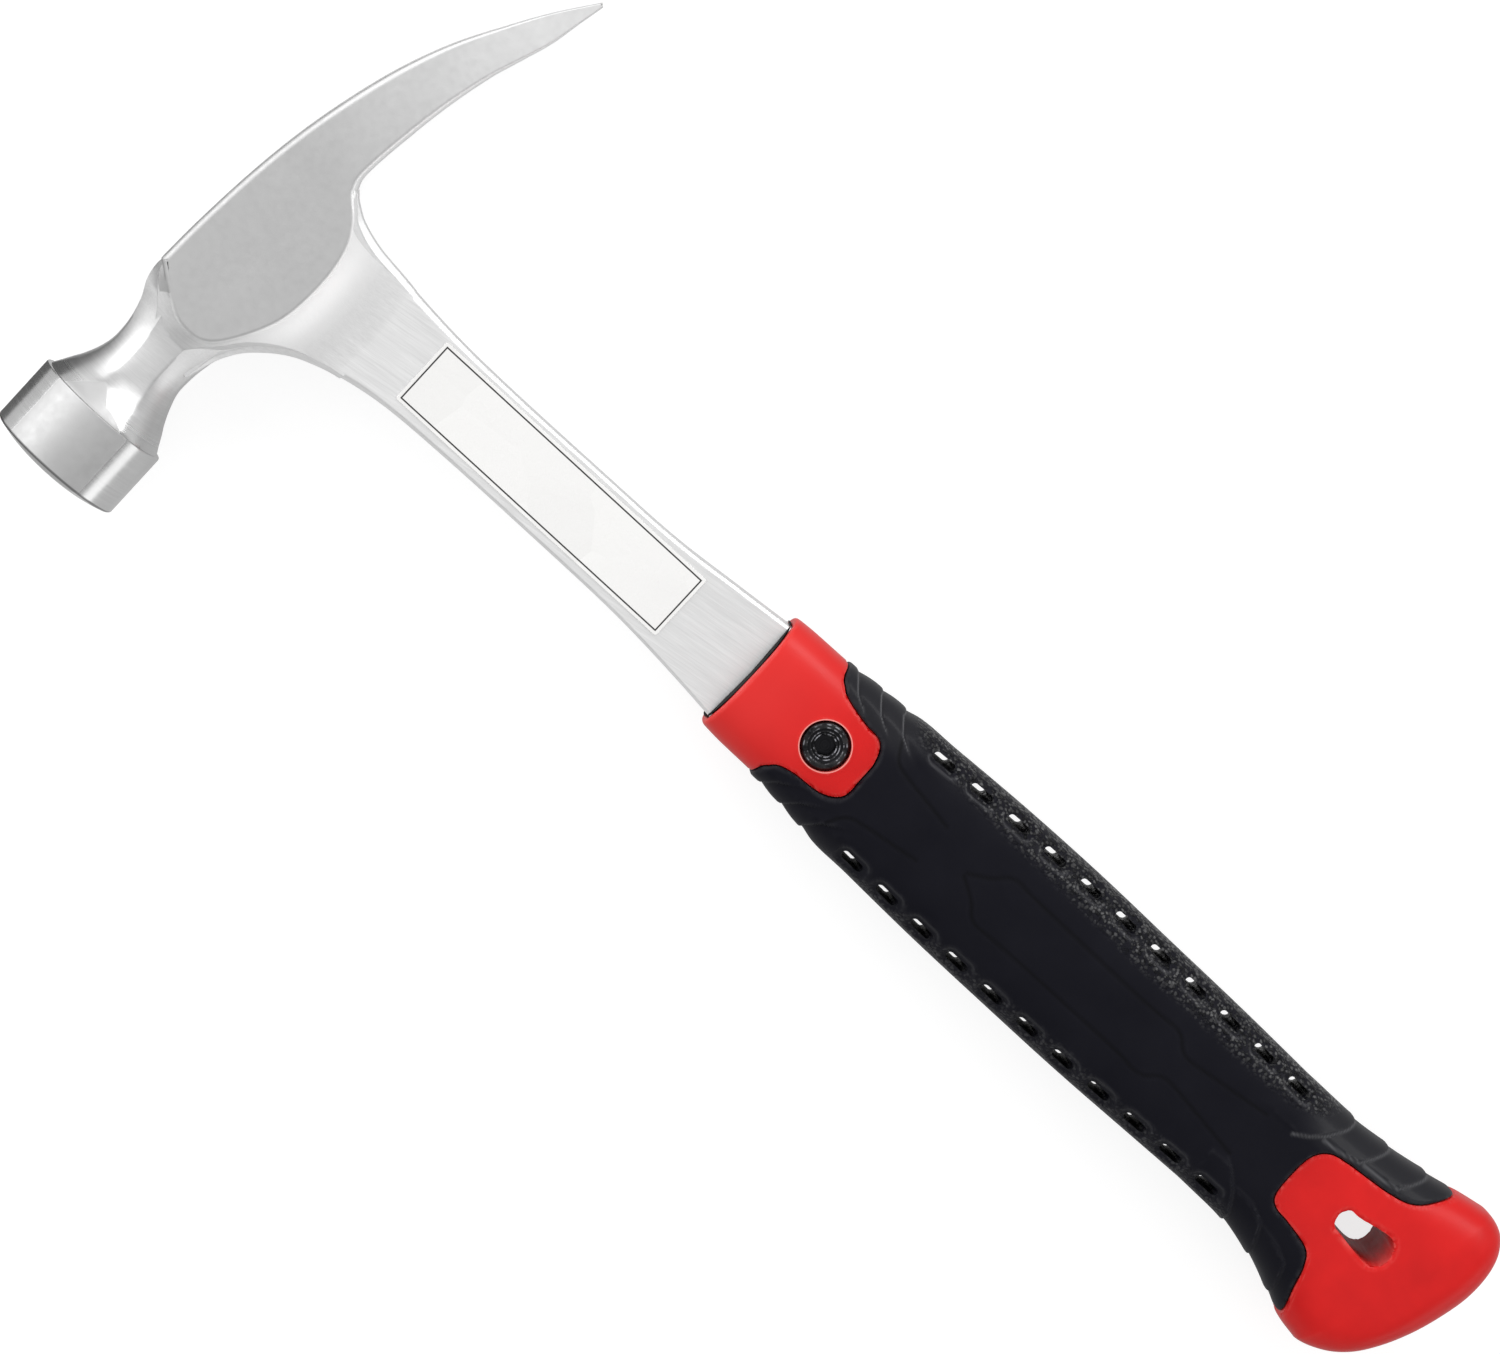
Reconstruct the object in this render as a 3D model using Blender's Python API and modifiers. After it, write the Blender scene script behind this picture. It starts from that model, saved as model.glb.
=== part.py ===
import math

import bpy
import bmesh
import numpy as np

MM = 0.001

# Fits between the parts
GAP = 0.3 * MM

# Forged head, in a frame with X down the handle, Y toward the claw and Z across the cheek
BELL_X = 12.25 * MM
BELL_RADIUS = 14.9 * MM
BELL_REAR_Y = -48.9 * MM
FACE_Y = -65.6 * MM
FACE_CROWN = 2.2 * MM
FACE_LAND_RADIUS = 5.0 * MM
FACE_RIM = 1.1 * MM
FACE_RIM_DEPTH = 1.6 * MM
CHEEK_HALF = 13.0 * MM
CHEEK_EDGE = 1.0 * MM
FILLET_RUN = 16.0 * MM
SHANK_HALF = 5.25 * MM
SHANK_CHAMFER = 1.3 * MM
TANG_HALF_WIDTH = 8.0 * MM
TANG_HALF = 4.5 * MM
TANG_START_X = 140.0 * MM
TANG_END_X = 290.0 * MM

# Nail slot in the claw
SLOT_APEX_Y = 36.0 * MM
SLOT_APEX_HALF = 0.9 * MM
SLOT_TIP_HALF = 5.4 * MM
SLOT_FLARE = 1.8 * MM
SLOT_LOW_X = -4.0 * MM
SLOT_HIGH_X = 44.0 * MM
CLAW_TIP_Y = 79.3 * MM
CLAW_TIP_MARGIN = 4.0 * MM

# Handle
MOUTH_X = 144.9 * MM
SEAL_THICKNESS = 0.7 * MM
SEAL_INSET = 0.6 * MM
SPINE_HALF_WIDTH = 11.0 * MM
SPINE_HALF = 8.8 * MM
SPINE_START_X = 152.0 * MM
SPINE_END_X = 322.0 * MM
SPINE_CHAMFER = 2.5 * MM
GRIP_SLOTS = 11
GRIP_SLOT_PITCH = 10.0 * MM
GRIP_SLOT_START_X = 185.2 * MM
GRIP_SLOT_LENGTH = 6.2 * MM
GRIP_SLOT_WIDTH = 2.0 * MM
GRIP_SLOT_EDGE = 3.1 * MM

# Clamp screw and its nut
SCREW_X = 164.7 * MM
SCREW_HEAD_RADIUS = 5.3 * MM
SCREW_HEAD_BASE = 8.9 * MM
SCREW_HEAD_TOP = 11.0 * MM
SCREW_HEAD_STEP = 0.3 * MM
SCREW_SHANK_RADIUS = 2.4 * MM
NUT_BARREL_RADIUS = 3.6 * MM
NUT_BARREL_TOP = 3.0 * MM
SOCKET_FLATS = 4.0 * MM
SOCKET_DEPTH = 1.5 * MM

# Label film
LABEL_START_X = 53.6 * MM
LABEL_LENGTH = 71.1 * MM
LABEL_LOW_Y = -7.2 * MM
LABEL_WIDTH = 15.4 * MM
LABEL_FILM = 0.2 * MM
LABEL_GLUE = 0.1 * MM

ROUND = 64
RING = 48

# Outlines in millimetres. A knot with a third value is a corner.
CHEEK_AND_CLAW = [
    (0.3, -17.8, 1), (0.8, -7.3), (2.0, 6.4), (3.9, 19.3), (6.6, 31.3), (9.9, 42.4), (14.3, 53.0),
    (19.7, 62.7), (24.7, 70.9), (30.7, 79.3, 1), (31.8, 78.4, 1), (30.5, 72.6), (29.1, 66.0),
    (26.6, 58.6), (24.5, 52.3), (22.1, 42.0), (20.1, 29.3), (19.4, 21.4), (20.2, 18.2, 1),
    (24.6, 13.6), (27.3, 7.8), (28.2, -0.7), (27.0, -11.0), (22.4, -20.4), (17.9, -24.9),
    (12.1, -25.3), (7.1, -22.8),
]
SHANK_FRONT = [
    (20.2, -33.0, 1), (21.1, -30.0), (22.9, -25.2), (26.7, -19.8), (32.4, -15.5), (39.5, -12.7),
    (52.3, -10.3), (70.0, -9.6), (94.1, -9.5), (114.5, -9.7), (130.9, -10.8), (149.0, -12.7, 1),
]
SHANK_BACK = [
    (149.0, 13.2, 1), (130.9, 11.5), (114.5, 10.1), (94.1, 9.8), (70.0, 9.7), (54.9, 10.1),
    (40.6, 11.4), (31.5, 12.6), (25.5, 14.4), (20.9, 17.4, 1),
]
SHANK = SHANK_FRONT + SHANK_BACK + [(10.0, 16.0, 1), (9.0, -30.0, 1)]
TONGUE = [
    (157.9, 24.0, 1), (157.9, 14.0), (159.9, 11.1), (162.4, 9.8), (167.7, 8.6), (172.2, 8.0),
    (174.2, 4.6), (174.5, 0.0), (174.3, -5.0), (170.6, -7.6), (164.1, -8.3), (160.7, -9.2),
    (159.1, -10.7), (157.9, -13.4), (157.9, -24.0, 1), (138.0, -24.0, 1), (138.0, 24.0, 1),
]
BUTT_PANEL = [
    (333.0, 27.0, 1), (324.7, 17.2), (319.9, 12.3), (314.0, 10.4), (303.3, 9.2), (299.0, 8.1),
    (296.6, 5.1), (296.1, 0.0), (296.6, -5.4), (298.7, -7.3), (302.4, -7.8), (308.8, -9.3),
    (311.5, -12.4), (313.6, -17.6), (316.6, -23.6), (319.0, -32.0, 1), (352.0, -32.0, 1),
    (352.0, 27.0, 1),
]
HANG_HOLE = [
    (309.2, 0.4), (310.3, 2.6), (313.0, 2.8), (320.6, 4.1), (323.1, 1.4), (322.7, -1.9),
    (319.8, -3.4), (312.6, -2.5), (310.0, -1.9),
]

# Points of the scoop's own edge and of the line that trims it, with how far the trim leans in
SCOOP_EDGE = [
    (2.4, -17.4), (7.3, -22.3), (12.1, -24.8), (17.6, -24.4), (21.9, -20.0), (26.6, -11.0),
    (27.8, -0.7), (26.9, 7.6), (24.3, 13.3), (20.4, 17.6), (12.0, 14.0), (6.0, 4.0), (3.6, -8.0),
]
SCOOP_TRIM = [
    (1.5, -16.5, 0.0), (2.9, 2.0, 0.0), (4.8, 17.6, 0.0), (12.0, 18.2, 0.0), (19.4, 18.3, 0.0),
    (21.9, 16.6, 0.2), (25.5, 14.4, 0.7), (31.5, 12.6, 1.0), (40.6, 11.4, 1.0), (50.0, 10.5, 1.0),
    (56.0, 9.9, 1.0), (58.0, 0.0, 1.0), (56.0, -9.9, 1.0), (48.0, -10.9, 1.0), (39.5, -12.7, 1.0),
    (32.4, -15.5, 1.0), (26.7, -19.8, 1.0), (22.6, -24.4, 1.2), (18.6, -28.0, 1.6),
    (16.8, -31.0, 1.6), (16.0, -36.0, 1.6), (12.4, -37.0, 1.6), (8.8, -36.0, 1.6),
    (7.9, -31.0, 1.6), (5.6, -27.0, 1.4), (2.4, -22.0, 0.8),
]

# Neck sections: Y, upper X, lower X, half height, and the shape: 0 round, 1 octagonal, 2 square
NECK = [
    (-49.9, -2.3, 26.9, 14.6, 0.0), (-48.7, -2.2, 26.8, 14.5, 0.1), (-47.2, -1.3, 26.2, 13.7, 0.35),
    (-43.0, 1.7, 23.2, 10.7, 0.8), (-39.8, 3.2, 21.8, 9.3, 1.0), (-36.2, 4.0, 21.0, 8.6, 1.0),
    (-31.5, 3.8, 21.2, 8.8, 1.0), (-27.0, 2.7, 22.0, 9.8, 1.0), (-23.4, 1.2, 23.0, 11.0, 1.15),
    (-20.4, 0.4, 23.8, 12.2, 1.45), (-17.6, 0.5, 24.2, 12.8, 1.8), (-12.0, 2.4, 24.0, 12.8, 1.9),
]

# Handle sections: lower X and Y, upper X and Y, half thickness. Each list is one smooth run,
# and a step lies between two runs.
SLEEVE_RUNS = [
    [(157.0, -14.5, 157.0, 14.9, 11.2), (160.9, -14.9, 160.7, 15.4, 11.6)],
    [
        (161.3, -14.6, 161.2, 15.0, 11.4), (164.2, -15.4, 163.8, 15.7, 11.8),
        (167.1, -15.5, 167.0, 15.9, 12.0),
    ],
    [
        (167.6, -15.1, 167.6, 15.5, 11.8), (170.6, -15.9, 170.4, 16.2, 12.2),
        (173.1, -15.9, 173.1, 16.2, 12.4),
    ],
    [
        (173.7, -15.8, 173.7, 15.8, 12.3), (184.5, -16.9, 184.5, 16.9, 12.6),
        (205.3, -17.6, 205.3, 17.8, 12.7), (226.2, -17.8, 226.2, 18.1, 12.8),
        (247.2, -17.8, 247.2, 17.8, 12.7), (268.3, -17.3, 268.3, 17.5, 12.6),
        (285.3, -16.9, 285.3, 17.0, 12.5), (294.0, -17.3, 300.0, 16.7, 12.5),
    ],
    [(294.4, -17.0, 300.7, 16.4, 12.2), (303.1, -18.9, 309.5, 17.0, 12.5)],
    [
        (303.5, -18.7, 310.0, 16.9, 12.1), (307.5, -20.6, 314.6, 18.2, 12.4),
        (310.7, -21.8, 319.2, 18.2, 12.5),
    ],
    [(311.1, -21.5, 319.8, 18.1, 12.2), (318.6, -24.9, 329.6, 20.5, 12.7)],
]
CORE_RUNS = [
    [(144.9, -13.4, 144.9, 13.9, 10.1), (145.7, -14.0, 145.7, 14.6, 10.8)],
    [
        (145.9, -14.1, 145.9, 14.7, 10.9), (150.0, -14.5, 150.0, 15.0, 11.1),
        (157.0, -14.6, 157.0, 15.1, 11.3), (176.0, -14.9, 176.0, 15.4, 11.6),
        (226.2, -16.5, 226.2, 16.5, 11.7), (290.0, -16.0, 294.0, 16.0, 11.7),
        (303.6, -18.4, 309.9, 16.8, 11.7), (311.1, -21.4, 319.5, 17.7, 11.9),
        (317.2, -24.6, 328.0, 19.9, 12.1), (322.6, -25.4, 334.3, 21.1, 12.3),
        (328.0, -23.7, 338.7, 20.1, 12.2), (332.2, -20.7, 341.3, 17.6, 11.5),
        (335.5, -16.5, 342.8, 14.4, 10.2), (338.6, -10.9, 343.6, 10.2, 8.2),
        (341.1, -4.4, 343.7, 6.6, 4.6),
    ],
]


def fresh_scene():
    for old in list(bpy.data.objects):
        bpy.data.objects.remove(old)
    made = []
    for name in ("framing_hammer", "hammer_cutters"):
        made.append(bpy.data.collections.new(name))
        bpy.context.scene.collection.children.link(made[-1])
    return made


PARTS, CUTTERS = fresh_scene()
ORIGIN = bpy.data.objects.new("hammer_origin", None)
bpy.context.scene.collection.objects.link(ORIGIN)


def adopt(obj, part):
    """Puts an object in the parts' collection or, for a cutter or a member of a union, in the other one."""
    (PARTS if part else CUTTERS).objects.link(obj)
    obj.parent = ORIGIN
    if not part:
        obj.hide_render = True
        obj.display_type = "WIRE"
    return obj


def mesh_from(name, points, faces, part=False):
    mesh = bpy.data.meshes.new(name)
    mesh.from_pydata([tuple(p) for p in points], [], faces)
    work = bmesh.new()
    work.from_mesh(mesh)
    bmesh.ops.recalc_face_normals(work, faces=work.faces)
    work.to_mesh(mesh)
    work.free()
    return adopt(bpy.data.objects.new(name, mesh), part)


def smooth_shading(obj, degrees=32):
    obj.data.shade_smooth()
    obj.data.set_sharp_from_angle(angle=math.radians(degrees))


def catmull(rows, steps, closed=False):
    """A smooth run through rows of numbers, with this many steps from each row to the next."""
    rows = np.array(rows, float)
    count = len(rows)
    if count == 2:
        return rows
    spans = count if closed else count - 1
    out = []
    for i in range(spans):
        if closed:
            a, b, c, d = (rows[(i + k) % count] for k in (-1, 0, 1, 2))
        else:
            b, c = rows[i], rows[i + 1]
            a = rows[i - 1] if i else 2 * b - c
            d = rows[i + 2] if i + 2 < count else 2 * c - b
        for t in np.arange(steps) / steps:
            slope_b, slope_c = (c - a) / 2, (d - b) / 2
            out.append(
                (2 * t**3 - 3 * t**2 + 1) * b + (t**3 - 2 * t**2 + t) * slope_b
                + (3 * t**2 - 2 * t**3) * c + (t**3 - t**2) * slope_c
            )
    if not closed:
        out.append(rows[-1])
    return np.array(out)


def offset(points, distance):
    """Moves the sides of a closed outline by this distance, outward where it is positive."""
    side = np.roll(points, -1, axis=0) - points
    side /= np.linalg.norm(side, axis=1)[:, None]
    ahead = np.stack([side[:, 1], -side[:, 0]], axis=1)
    behind = np.roll(ahead, 1, axis=0)
    mitre = (ahead + behind) / (1 + np.sum(ahead * behind, axis=1))[:, None]
    x, y = points.T
    area = np.sum(x * np.roll(y, -1) - y * np.roll(x, -1))
    return points + math.copysign(1.0, area) * mitre * np.reshape(distance, (-1, 1))


def flat(name, knots, low, high, steps=5, grow=0.0, part=False):
    """A prism along Z from an outline in millimetres: a filled 2D curve through its knots."""
    curve = bpy.data.curves.new(name, "CURVE")
    curve.dimensions = "2D"
    curve.fill_mode = "BOTH"
    curve.extrude = (high - low) / 2
    curve.resolution_u = steps
    spline = curve.splines.new("BEZIER")
    spline.bezier_points.add(len(knots) - 1)
    places = np.array([knot[:2] for knot in knots], float) * MM
    if grow:
        places = offset(places, grow)
    for point, knot, place in zip(spline.bezier_points, knots, places):
        point.co = (place[0], place[1], 0)
        kind = "VECTOR" if len(knot) > 2 else "AUTO"
        point.handle_left_type = point.handle_right_type = kind
    spline.use_cyclic_u = True
    source = bpy.data.objects.new(name, curve)
    bpy.context.scene.collection.objects.link(source)
    source.location.z = (high + low) / 2
    bpy.context.view_layer.update()
    graph = bpy.context.evaluated_depsgraph_get()
    mesh = bpy.data.meshes.new_from_object(source.evaluated_get(graph))
    mesh.transform(source.matrix_world)
    bpy.data.objects.remove(source)
    work = bmesh.new()
    work.from_mesh(mesh)
    bmesh.ops.remove_doubles(work, verts=work.verts, dist=1e-6)
    bmesh.ops.recalc_face_normals(work, faces=work.faces)
    work.to_mesh(mesh)
    work.free()
    return adopt(bpy.data.objects.new(name, mesh), part)


def loft(name, rings, part=False):
    """A closed solid through rings of equal length, with a flat cap at each end."""
    count = len(rings[0])
    points = [point for ring in rings for point in ring]
    faces = []
    for k in range(len(rings) - 1):
        for i in range(count):
            j = (i + 1) % count
            faces.append((k * count + i, k * count + j, (k + 1) * count + j, (k + 1) * count + i))
    faces.append(tuple(range(count)))
    faces.append(tuple(range((len(rings) - 1) * count, len(rings) * count)))
    return mesh_from(name, points, faces, part)


def turned(name, profile, steps=ROUND, part=False):
    """A profile of radius and height turned about Z by a Screw modifier."""
    mesh = bpy.data.meshes.new(name)
    edges = [(i, i + 1) for i in range(len(profile) - 1)]
    mesh.from_pydata([(r, 0, z) for r, z in profile], edges, [])
    obj = adopt(bpy.data.objects.new(name, mesh), part)
    screw = obj.modifiers.new("turn", "SCREW")
    screw.axis = "Z"
    screw.steps = screw.render_steps = steps
    screw.use_merge_vertices = True
    screw.merge_threshold = 1e-5
    screw.use_smooth_shade = True
    return obj


def box(name, low, high, part=False):
    low, high = np.array(low), np.array(high)
    bpy.ops.mesh.primitive_cube_add(size=1, location=(low + high) / 2)
    obj = bpy.context.object
    obj.name = name
    obj.scale = high - low
    bpy.ops.object.transform_apply(location=True, rotation=False, scale=True)
    bpy.context.collection.objects.unlink(obj)
    return adopt(obj, part)


def post(name, x, radius, low, high, sides=40, part=False):
    """A cylinder or a hexagon along Z."""
    bpy.ops.mesh.primitive_cylinder_add(
        vertices=sides, radius=radius, depth=high - low, location=(x, 0, (low + high) / 2),
    )
    obj = bpy.context.object
    obj.name = name
    bpy.context.collection.objects.unlink(obj)
    return adopt(obj, part)


def join(obj, other, operation):
    step = obj.modifiers.new(f"{operation.lower()}_{other.name}", "BOOLEAN")
    step.operation = operation
    step.solver = "EXACT"
    step.object = other


def chamfer(obj, width, segments=1, degrees=50):
    bevel = obj.modifiers.new("chamfer", "BEVEL")
    bevel.width = width
    bevel.segments = segments
    bevel.limit_method = "ANGLE"
    bevel.angle_limit = math.radians(degrees)


def paint(obj, colour, roughness, metallic):
    material = bpy.data.materials.new(obj.name)
    material.use_nodes = True
    shader = material.node_tree.nodes["Principled BSDF"]
    shader.inputs["Base Color"].default_value = (*colour, 1)
    shader.inputs["Roughness"].default_value = roughness
    shader.inputs["Metallic"].default_value = metallic
    material.diffuse_color = (*colour, 1)
    obj.data.materials.append(material)


def neck_ring(y, upper, lower, half, shape):
    """One section of the neck, which goes from the round bell to an octagon and then to the square cheek."""
    angles = np.arange(RING) * 2 * np.pi / RING
    eighth = np.pi / 4
    octagon = 1 / np.cos((angles + eighth / 2) % eighth - eighth / 2)
    square = np.minimum(1 / np.maximum(abs(np.cos(angles)), abs(np.sin(angles))), 1.34)
    reach = 1 + min(shape, 1) * (octagon - 1) + max(shape - 1, 0) * (square - octagon)
    x = (upper + lower) / 2 + (lower - upper) / 2 * reach * np.cos(angles)
    z = half * reach * np.sin(angles)
    return np.stack([x * MM, np.full(RING, y * MM), z * MM], axis=1)


def scoop():
    """The concave skirt that runs from the cheek's edge out to the thin shank, on both sides."""
    edge = catmull(SCOOP_EDGE, 4, closed=True) * MM
    drop = CHEEK_HALF - CHEEK_EDGE / 2 - SHANK_HALF + GAP
    radius = (FILLET_RUN**2 + drop**2) / (2 * drop)
    rings = [(-CHEEK_EDGE, CHEEK_HALF - CHEEK_EDGE / 2)]
    for run in np.linspace(0, FILLET_RUN, 9):
        left = FILLET_RUN - run
        rings.append((run, SHANK_HALF - GAP + radius - math.sqrt(radius**2 - left**2)))
    rings += [(run, -height) for run, height in reversed(rings)]
    return loft("scoop", [
        [(x, y, height) for x, y in offset(edge, run)] for run, height in rings
    ])


def scoop_trim():
    """What the skirt may not pass: the silhouette, leaning in above the shank's chamfer."""
    line = catmull(SCOOP_TRIM, 4, closed=True)
    edge, lean = line[:, :2] * MM, line[:, 2]
    full = CHEEK_HALF + GAP
    rings = []
    for height, inset in (
        (full, 2.5 * SHANK_CHAMFER), (SHANK_HALF, SHANK_CHAMFER), (SHANK_HALF - SHANK_CHAMFER, 0),
        (SHANK_CHAMFER - SHANK_HALF, 0), (-SHANK_HALF, SHANK_CHAMFER), (-full, 2.5 * SHANK_CHAMFER),
    ):
        rings.append([(x, y, height) for x, y in offset(edge, -inset * lean)])
    return loft("scoop_trim", rings)


def forged_head():
    """Shank, neck, bell, cheek and claw as one solid, with the nail slot and the tang's screw hole cut out."""
    head = flat("forged_head", SHANK, -SHANK_HALF, SHANK_HALF, part=True)
    chamfer(head, SHANK_CHAMFER)

    skirt = scoop()
    join(skirt, scoop_trim(), "INTERSECT")
    join(head, skirt, "UNION")

    cheek = flat("cheek_and_claw", CHEEK_AND_CLAW, -CHEEK_HALF, CHEEK_HALF)
    chamfer(cheek, CHEEK_EDGE, segments=2)
    join(head, cheek, "UNION")

    join(head, loft("neck", [neck_ring(*row) for row in catmull(NECK, 2)]), "UNION")

    rim = BELL_RADIUS - FACE_RIM
    crown = [
        (r, FACE_Y + FACE_CROWN * ((r - FACE_LAND_RADIUS) / (rim - FACE_LAND_RADIUS)) ** 2)
        for r in np.linspace(rim, FACE_LAND_RADIUS, 5)
    ]
    bell = turned("bell", [
        (0, BELL_REAR_Y), (BELL_RADIUS, BELL_REAR_Y),
        (BELL_RADIUS, FACE_Y + FACE_CROWN + FACE_RIM_DEPTH), *crown, (0, FACE_Y),
    ])
    bell.location.x = BELL_X
    bell.rotation_euler.x = -math.pi / 2
    join(head, bell, "UNION")

    tang = box(
        "tang", (TANG_START_X, -TANG_HALF_WIDTH, -TANG_HALF), (TANG_END_X, TANG_HALF_WIDTH, TANG_HALF)
    )
    join(head, tang, "UNION")

    join(head, nail_slot(), "DIFFERENCE")
    hole = post("tang_hole", SCREW_X, NUT_BARREL_RADIUS + GAP, -3 * TANG_HALF, 3 * TANG_HALF)
    join(head, hole, "DIFFERENCE")
    return head


def nail_slot():
    """A V that is open at the claw's tip and wider on the side that meets the nail's head."""
    rings = []
    past = CLAW_TIP_Y + CLAW_TIP_MARGIN
    for x, flare in ((SLOT_LOW_X, 0.0), (SLOT_HIGH_X, SLOT_FLARE)):
        apex, tip = SLOT_APEX_HALF + flare / 2, SLOT_TIP_HALF + flare
        start = SLOT_APEX_Y - 2 * flare
        rings.append([
            (x, start, 0), (x, start + 0.3 * apex, 0.7 * apex), (x, start + apex, apex),
            (x, past, tip), (x, past, -tip), (x, start + apex, -apex),
            (x, start + 0.3 * apex, -0.7 * apex),
        ])
    return loft("nail_slot", rings)


def section(low_x, low_y, high_x, high_y, half, power):
    """One rounded section of the handle, in the upright plane through its two outline points."""
    angles = np.arange(RING) * 2 * np.pi / RING
    across = np.sign(np.cos(angles)) * np.abs(np.cos(angles)) ** (2 / power)
    up = np.sign(np.sin(angles)) * np.abs(np.sin(angles)) ** (2 / power)
    middle = np.array([low_x + high_x, low_y + high_y]) / 2
    reach = np.array([high_x - low_x, high_y - low_y]) / 2
    plan = middle + across[:, None] * reach
    return np.stack([plan[:, 0] * MM, plan[:, 1] * MM, half * up * MM], axis=1)


def handle_form(name, runs, power, part=False):
    rings = []
    for run in runs:
        rings += [section(*row, power) for row in catmull(run, 3)]
    return loft(name, rings, part)


def spine(name, grow):
    wide, thick = SPINE_HALF_WIDTH + grow, SPINE_HALF + grow
    bar = box(name, (SPINE_START_X - grow, -wide, -thick), (SPINE_END_X + grow, wide, thick))
    chamfer(bar, SPINE_CHAMFER, segments=2)
    return bar


def grip_slots():
    """Both rows of through slots, in one cutter."""
    outline = np.array([row for run in SLEEVE_RUNS for row in run])
    points, faces = [], []
    for upper in (False, True):
        column = 2 if upper else 0
        for i in range(GRIP_SLOTS):
            x = GRIP_SLOT_START_X + i * GRIP_SLOT_PITCH
            edge = np.interp([x - MM, x, x + MM], outline[:, column] * MM, outline[:, column + 1] * MM)
            y = edge[1] - GRIP_SLOT_EDGE if upper else edge[1] + GRIP_SLOT_EDGE
            lean = math.atan2(edge[2] - edge[0], 2 * MM)
            plan = []
            for angle in np.linspace(0, 2 * np.pi, 16, endpoint=False) + np.pi / 16:
                radius = GRIP_SLOT_WIDTH / 2
                side = math.copysign(GRIP_SLOT_LENGTH / 2 - radius, math.cos(angle))
                along, across = side + radius * math.cos(angle), radius * math.sin(angle)
                plan.append((
                    x + along * math.cos(lean) - across * math.sin(lean),
                    y + along * math.sin(lean) + across * math.cos(lean),
                ))
            start, count, tall = len(points), len(plan), 2 * CHEEK_HALF
            points += [(px, py, -tall) for px, py in plan] + [(px, py, tall) for px, py in plan]
            for k in range(count):
                n = (k + 1) % count
                faces.append((start + k, start + n, start + count + n, start + count + k))
            faces.append(tuple(range(start, start + count)))
            faces.append(tuple(range(start + count, start + 2 * count)))
    return mesh_from("grip_slots", points, faces)


def handle_core():
    """Red collar, tongue, spine and butt as one moulding round the tang."""
    core = handle_form("handle_core", CORE_RUNS, 3.0, part=True)
    reach = 2 * CHEEK_HALF
    regions = flat("tongue_region", TONGUE, -reach, reach)
    join(regions, flat("butt_region", BUTT_PANEL, -reach, reach), "UNION")
    join(core, regions, "INTERSECT")
    join(core, spine("core_spine", 0.0), "UNION")
    hole, recess = NUT_BARREL_RADIUS + GAP, SCREW_HEAD_RADIUS + GAP
    step = SCREW_HEAD_BASE - GAP
    screw_room = turned("screw_room", [
        (0, reach), (recess, reach), (recess, step), (hole, step), (hole, -step), (recess, -step),
        (recess, -reach), (0, -reach),
    ])
    screw_room.location.x = SCREW_X
    join(core, screw_room, "DIFFERENCE")
    tang_room = box(
        "tang_room", (MOUTH_X - MM, -TANG_HALF_WIDTH - GAP, -TANG_HALF - GAP),
        (TANG_END_X + GAP, TANG_HALF_WIDTH + GAP, TANG_HALF + GAP),
    )
    join(core, tang_room, "DIFFERENCE")
    shank_room = flat("shank_room", SHANK, -SHANK_HALF - GAP, SHANK_HALF + GAP, grow=GAP)
    chamfer(shank_room, SHANK_CHAMFER)
    join(core, shank_room, "DIFFERENCE")
    join(core, flat("hang_hole", HANG_HOLE, -reach, reach), "DIFFERENCE")
    return core


def grip_sleeve():
    """Black overmould: the grip's outer form less the red panels, the spine and the slots."""
    sleeve = handle_form("grip_sleeve", SLEEVE_RUNS, 2.7, part=True)
    reach = 3 * CHEEK_HALF
    join(sleeve, flat("tongue_room", TONGUE, -reach, reach, grow=GAP), "DIFFERENCE")
    join(sleeve, flat("butt_room", BUTT_PANEL, -reach, reach, grow=GAP), "DIFFERENCE")
    join(sleeve, spine("spine_room", GAP), "DIFFERENCE")
    join(sleeve, grip_slots(), "DIFFERENCE")
    return sleeve


def collar_seal():
    low, high = MOUTH_X - GAP - SEAL_THICKNESS, MOUTH_X - GAP
    _, low_y, _, high_y, half = CORE_RUNS[0][-1]
    inset = SEAL_INSET / MM
    rings = []
    for x in (low / MM, high / MM):
        rings.append(section(x, low_y + inset, x, high_y - inset, half - inset, 3.0))
    seal = loft("collar_seal", rings, part=True)
    room = flat("seal_room", SHANK, -SHANK_HALF - GAP, SHANK_HALF + GAP, grow=GAP)
    chamfer(room, SHANK_CHAMFER)
    join(seal, room, "DIFFERENCE")
    return seal


def fastener_head(radius, base, top):
    """The head's profile from its top down to its underside: a raised ring round a lower middle."""
    middle = top - SCREW_HEAD_STEP
    return [
        (0, middle), (0.62 * radius, middle), (0.68 * radius, top), (0.9 * radius, top),
        (radius, middle), (radius, base),
    ]


def clamp_screw():
    screw = turned("clamp_screw", fastener_head(SCREW_HEAD_RADIUS, SCREW_HEAD_BASE, SCREW_HEAD_TOP) + [
        (SCREW_SHANK_RADIUS, SCREW_HEAD_BASE), (SCREW_SHANK_RADIUS, -SCREW_HEAD_BASE / 2),
        (0, -SCREW_HEAD_BASE / 2),
    ], part=True)
    screw.location.x = SCREW_X
    join(screw, socket("screw_socket", 1), "DIFFERENCE")
    return screw


def socket(name, side):
    radius = SOCKET_FLATS / 2 / math.cos(math.pi / 6)
    ends = sorted((side * (SCREW_HEAD_TOP - SOCKET_DEPTH), side * (SCREW_HEAD_TOP + MM)))
    return post(name, SCREW_X, radius, *ends, sides=6)


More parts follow.
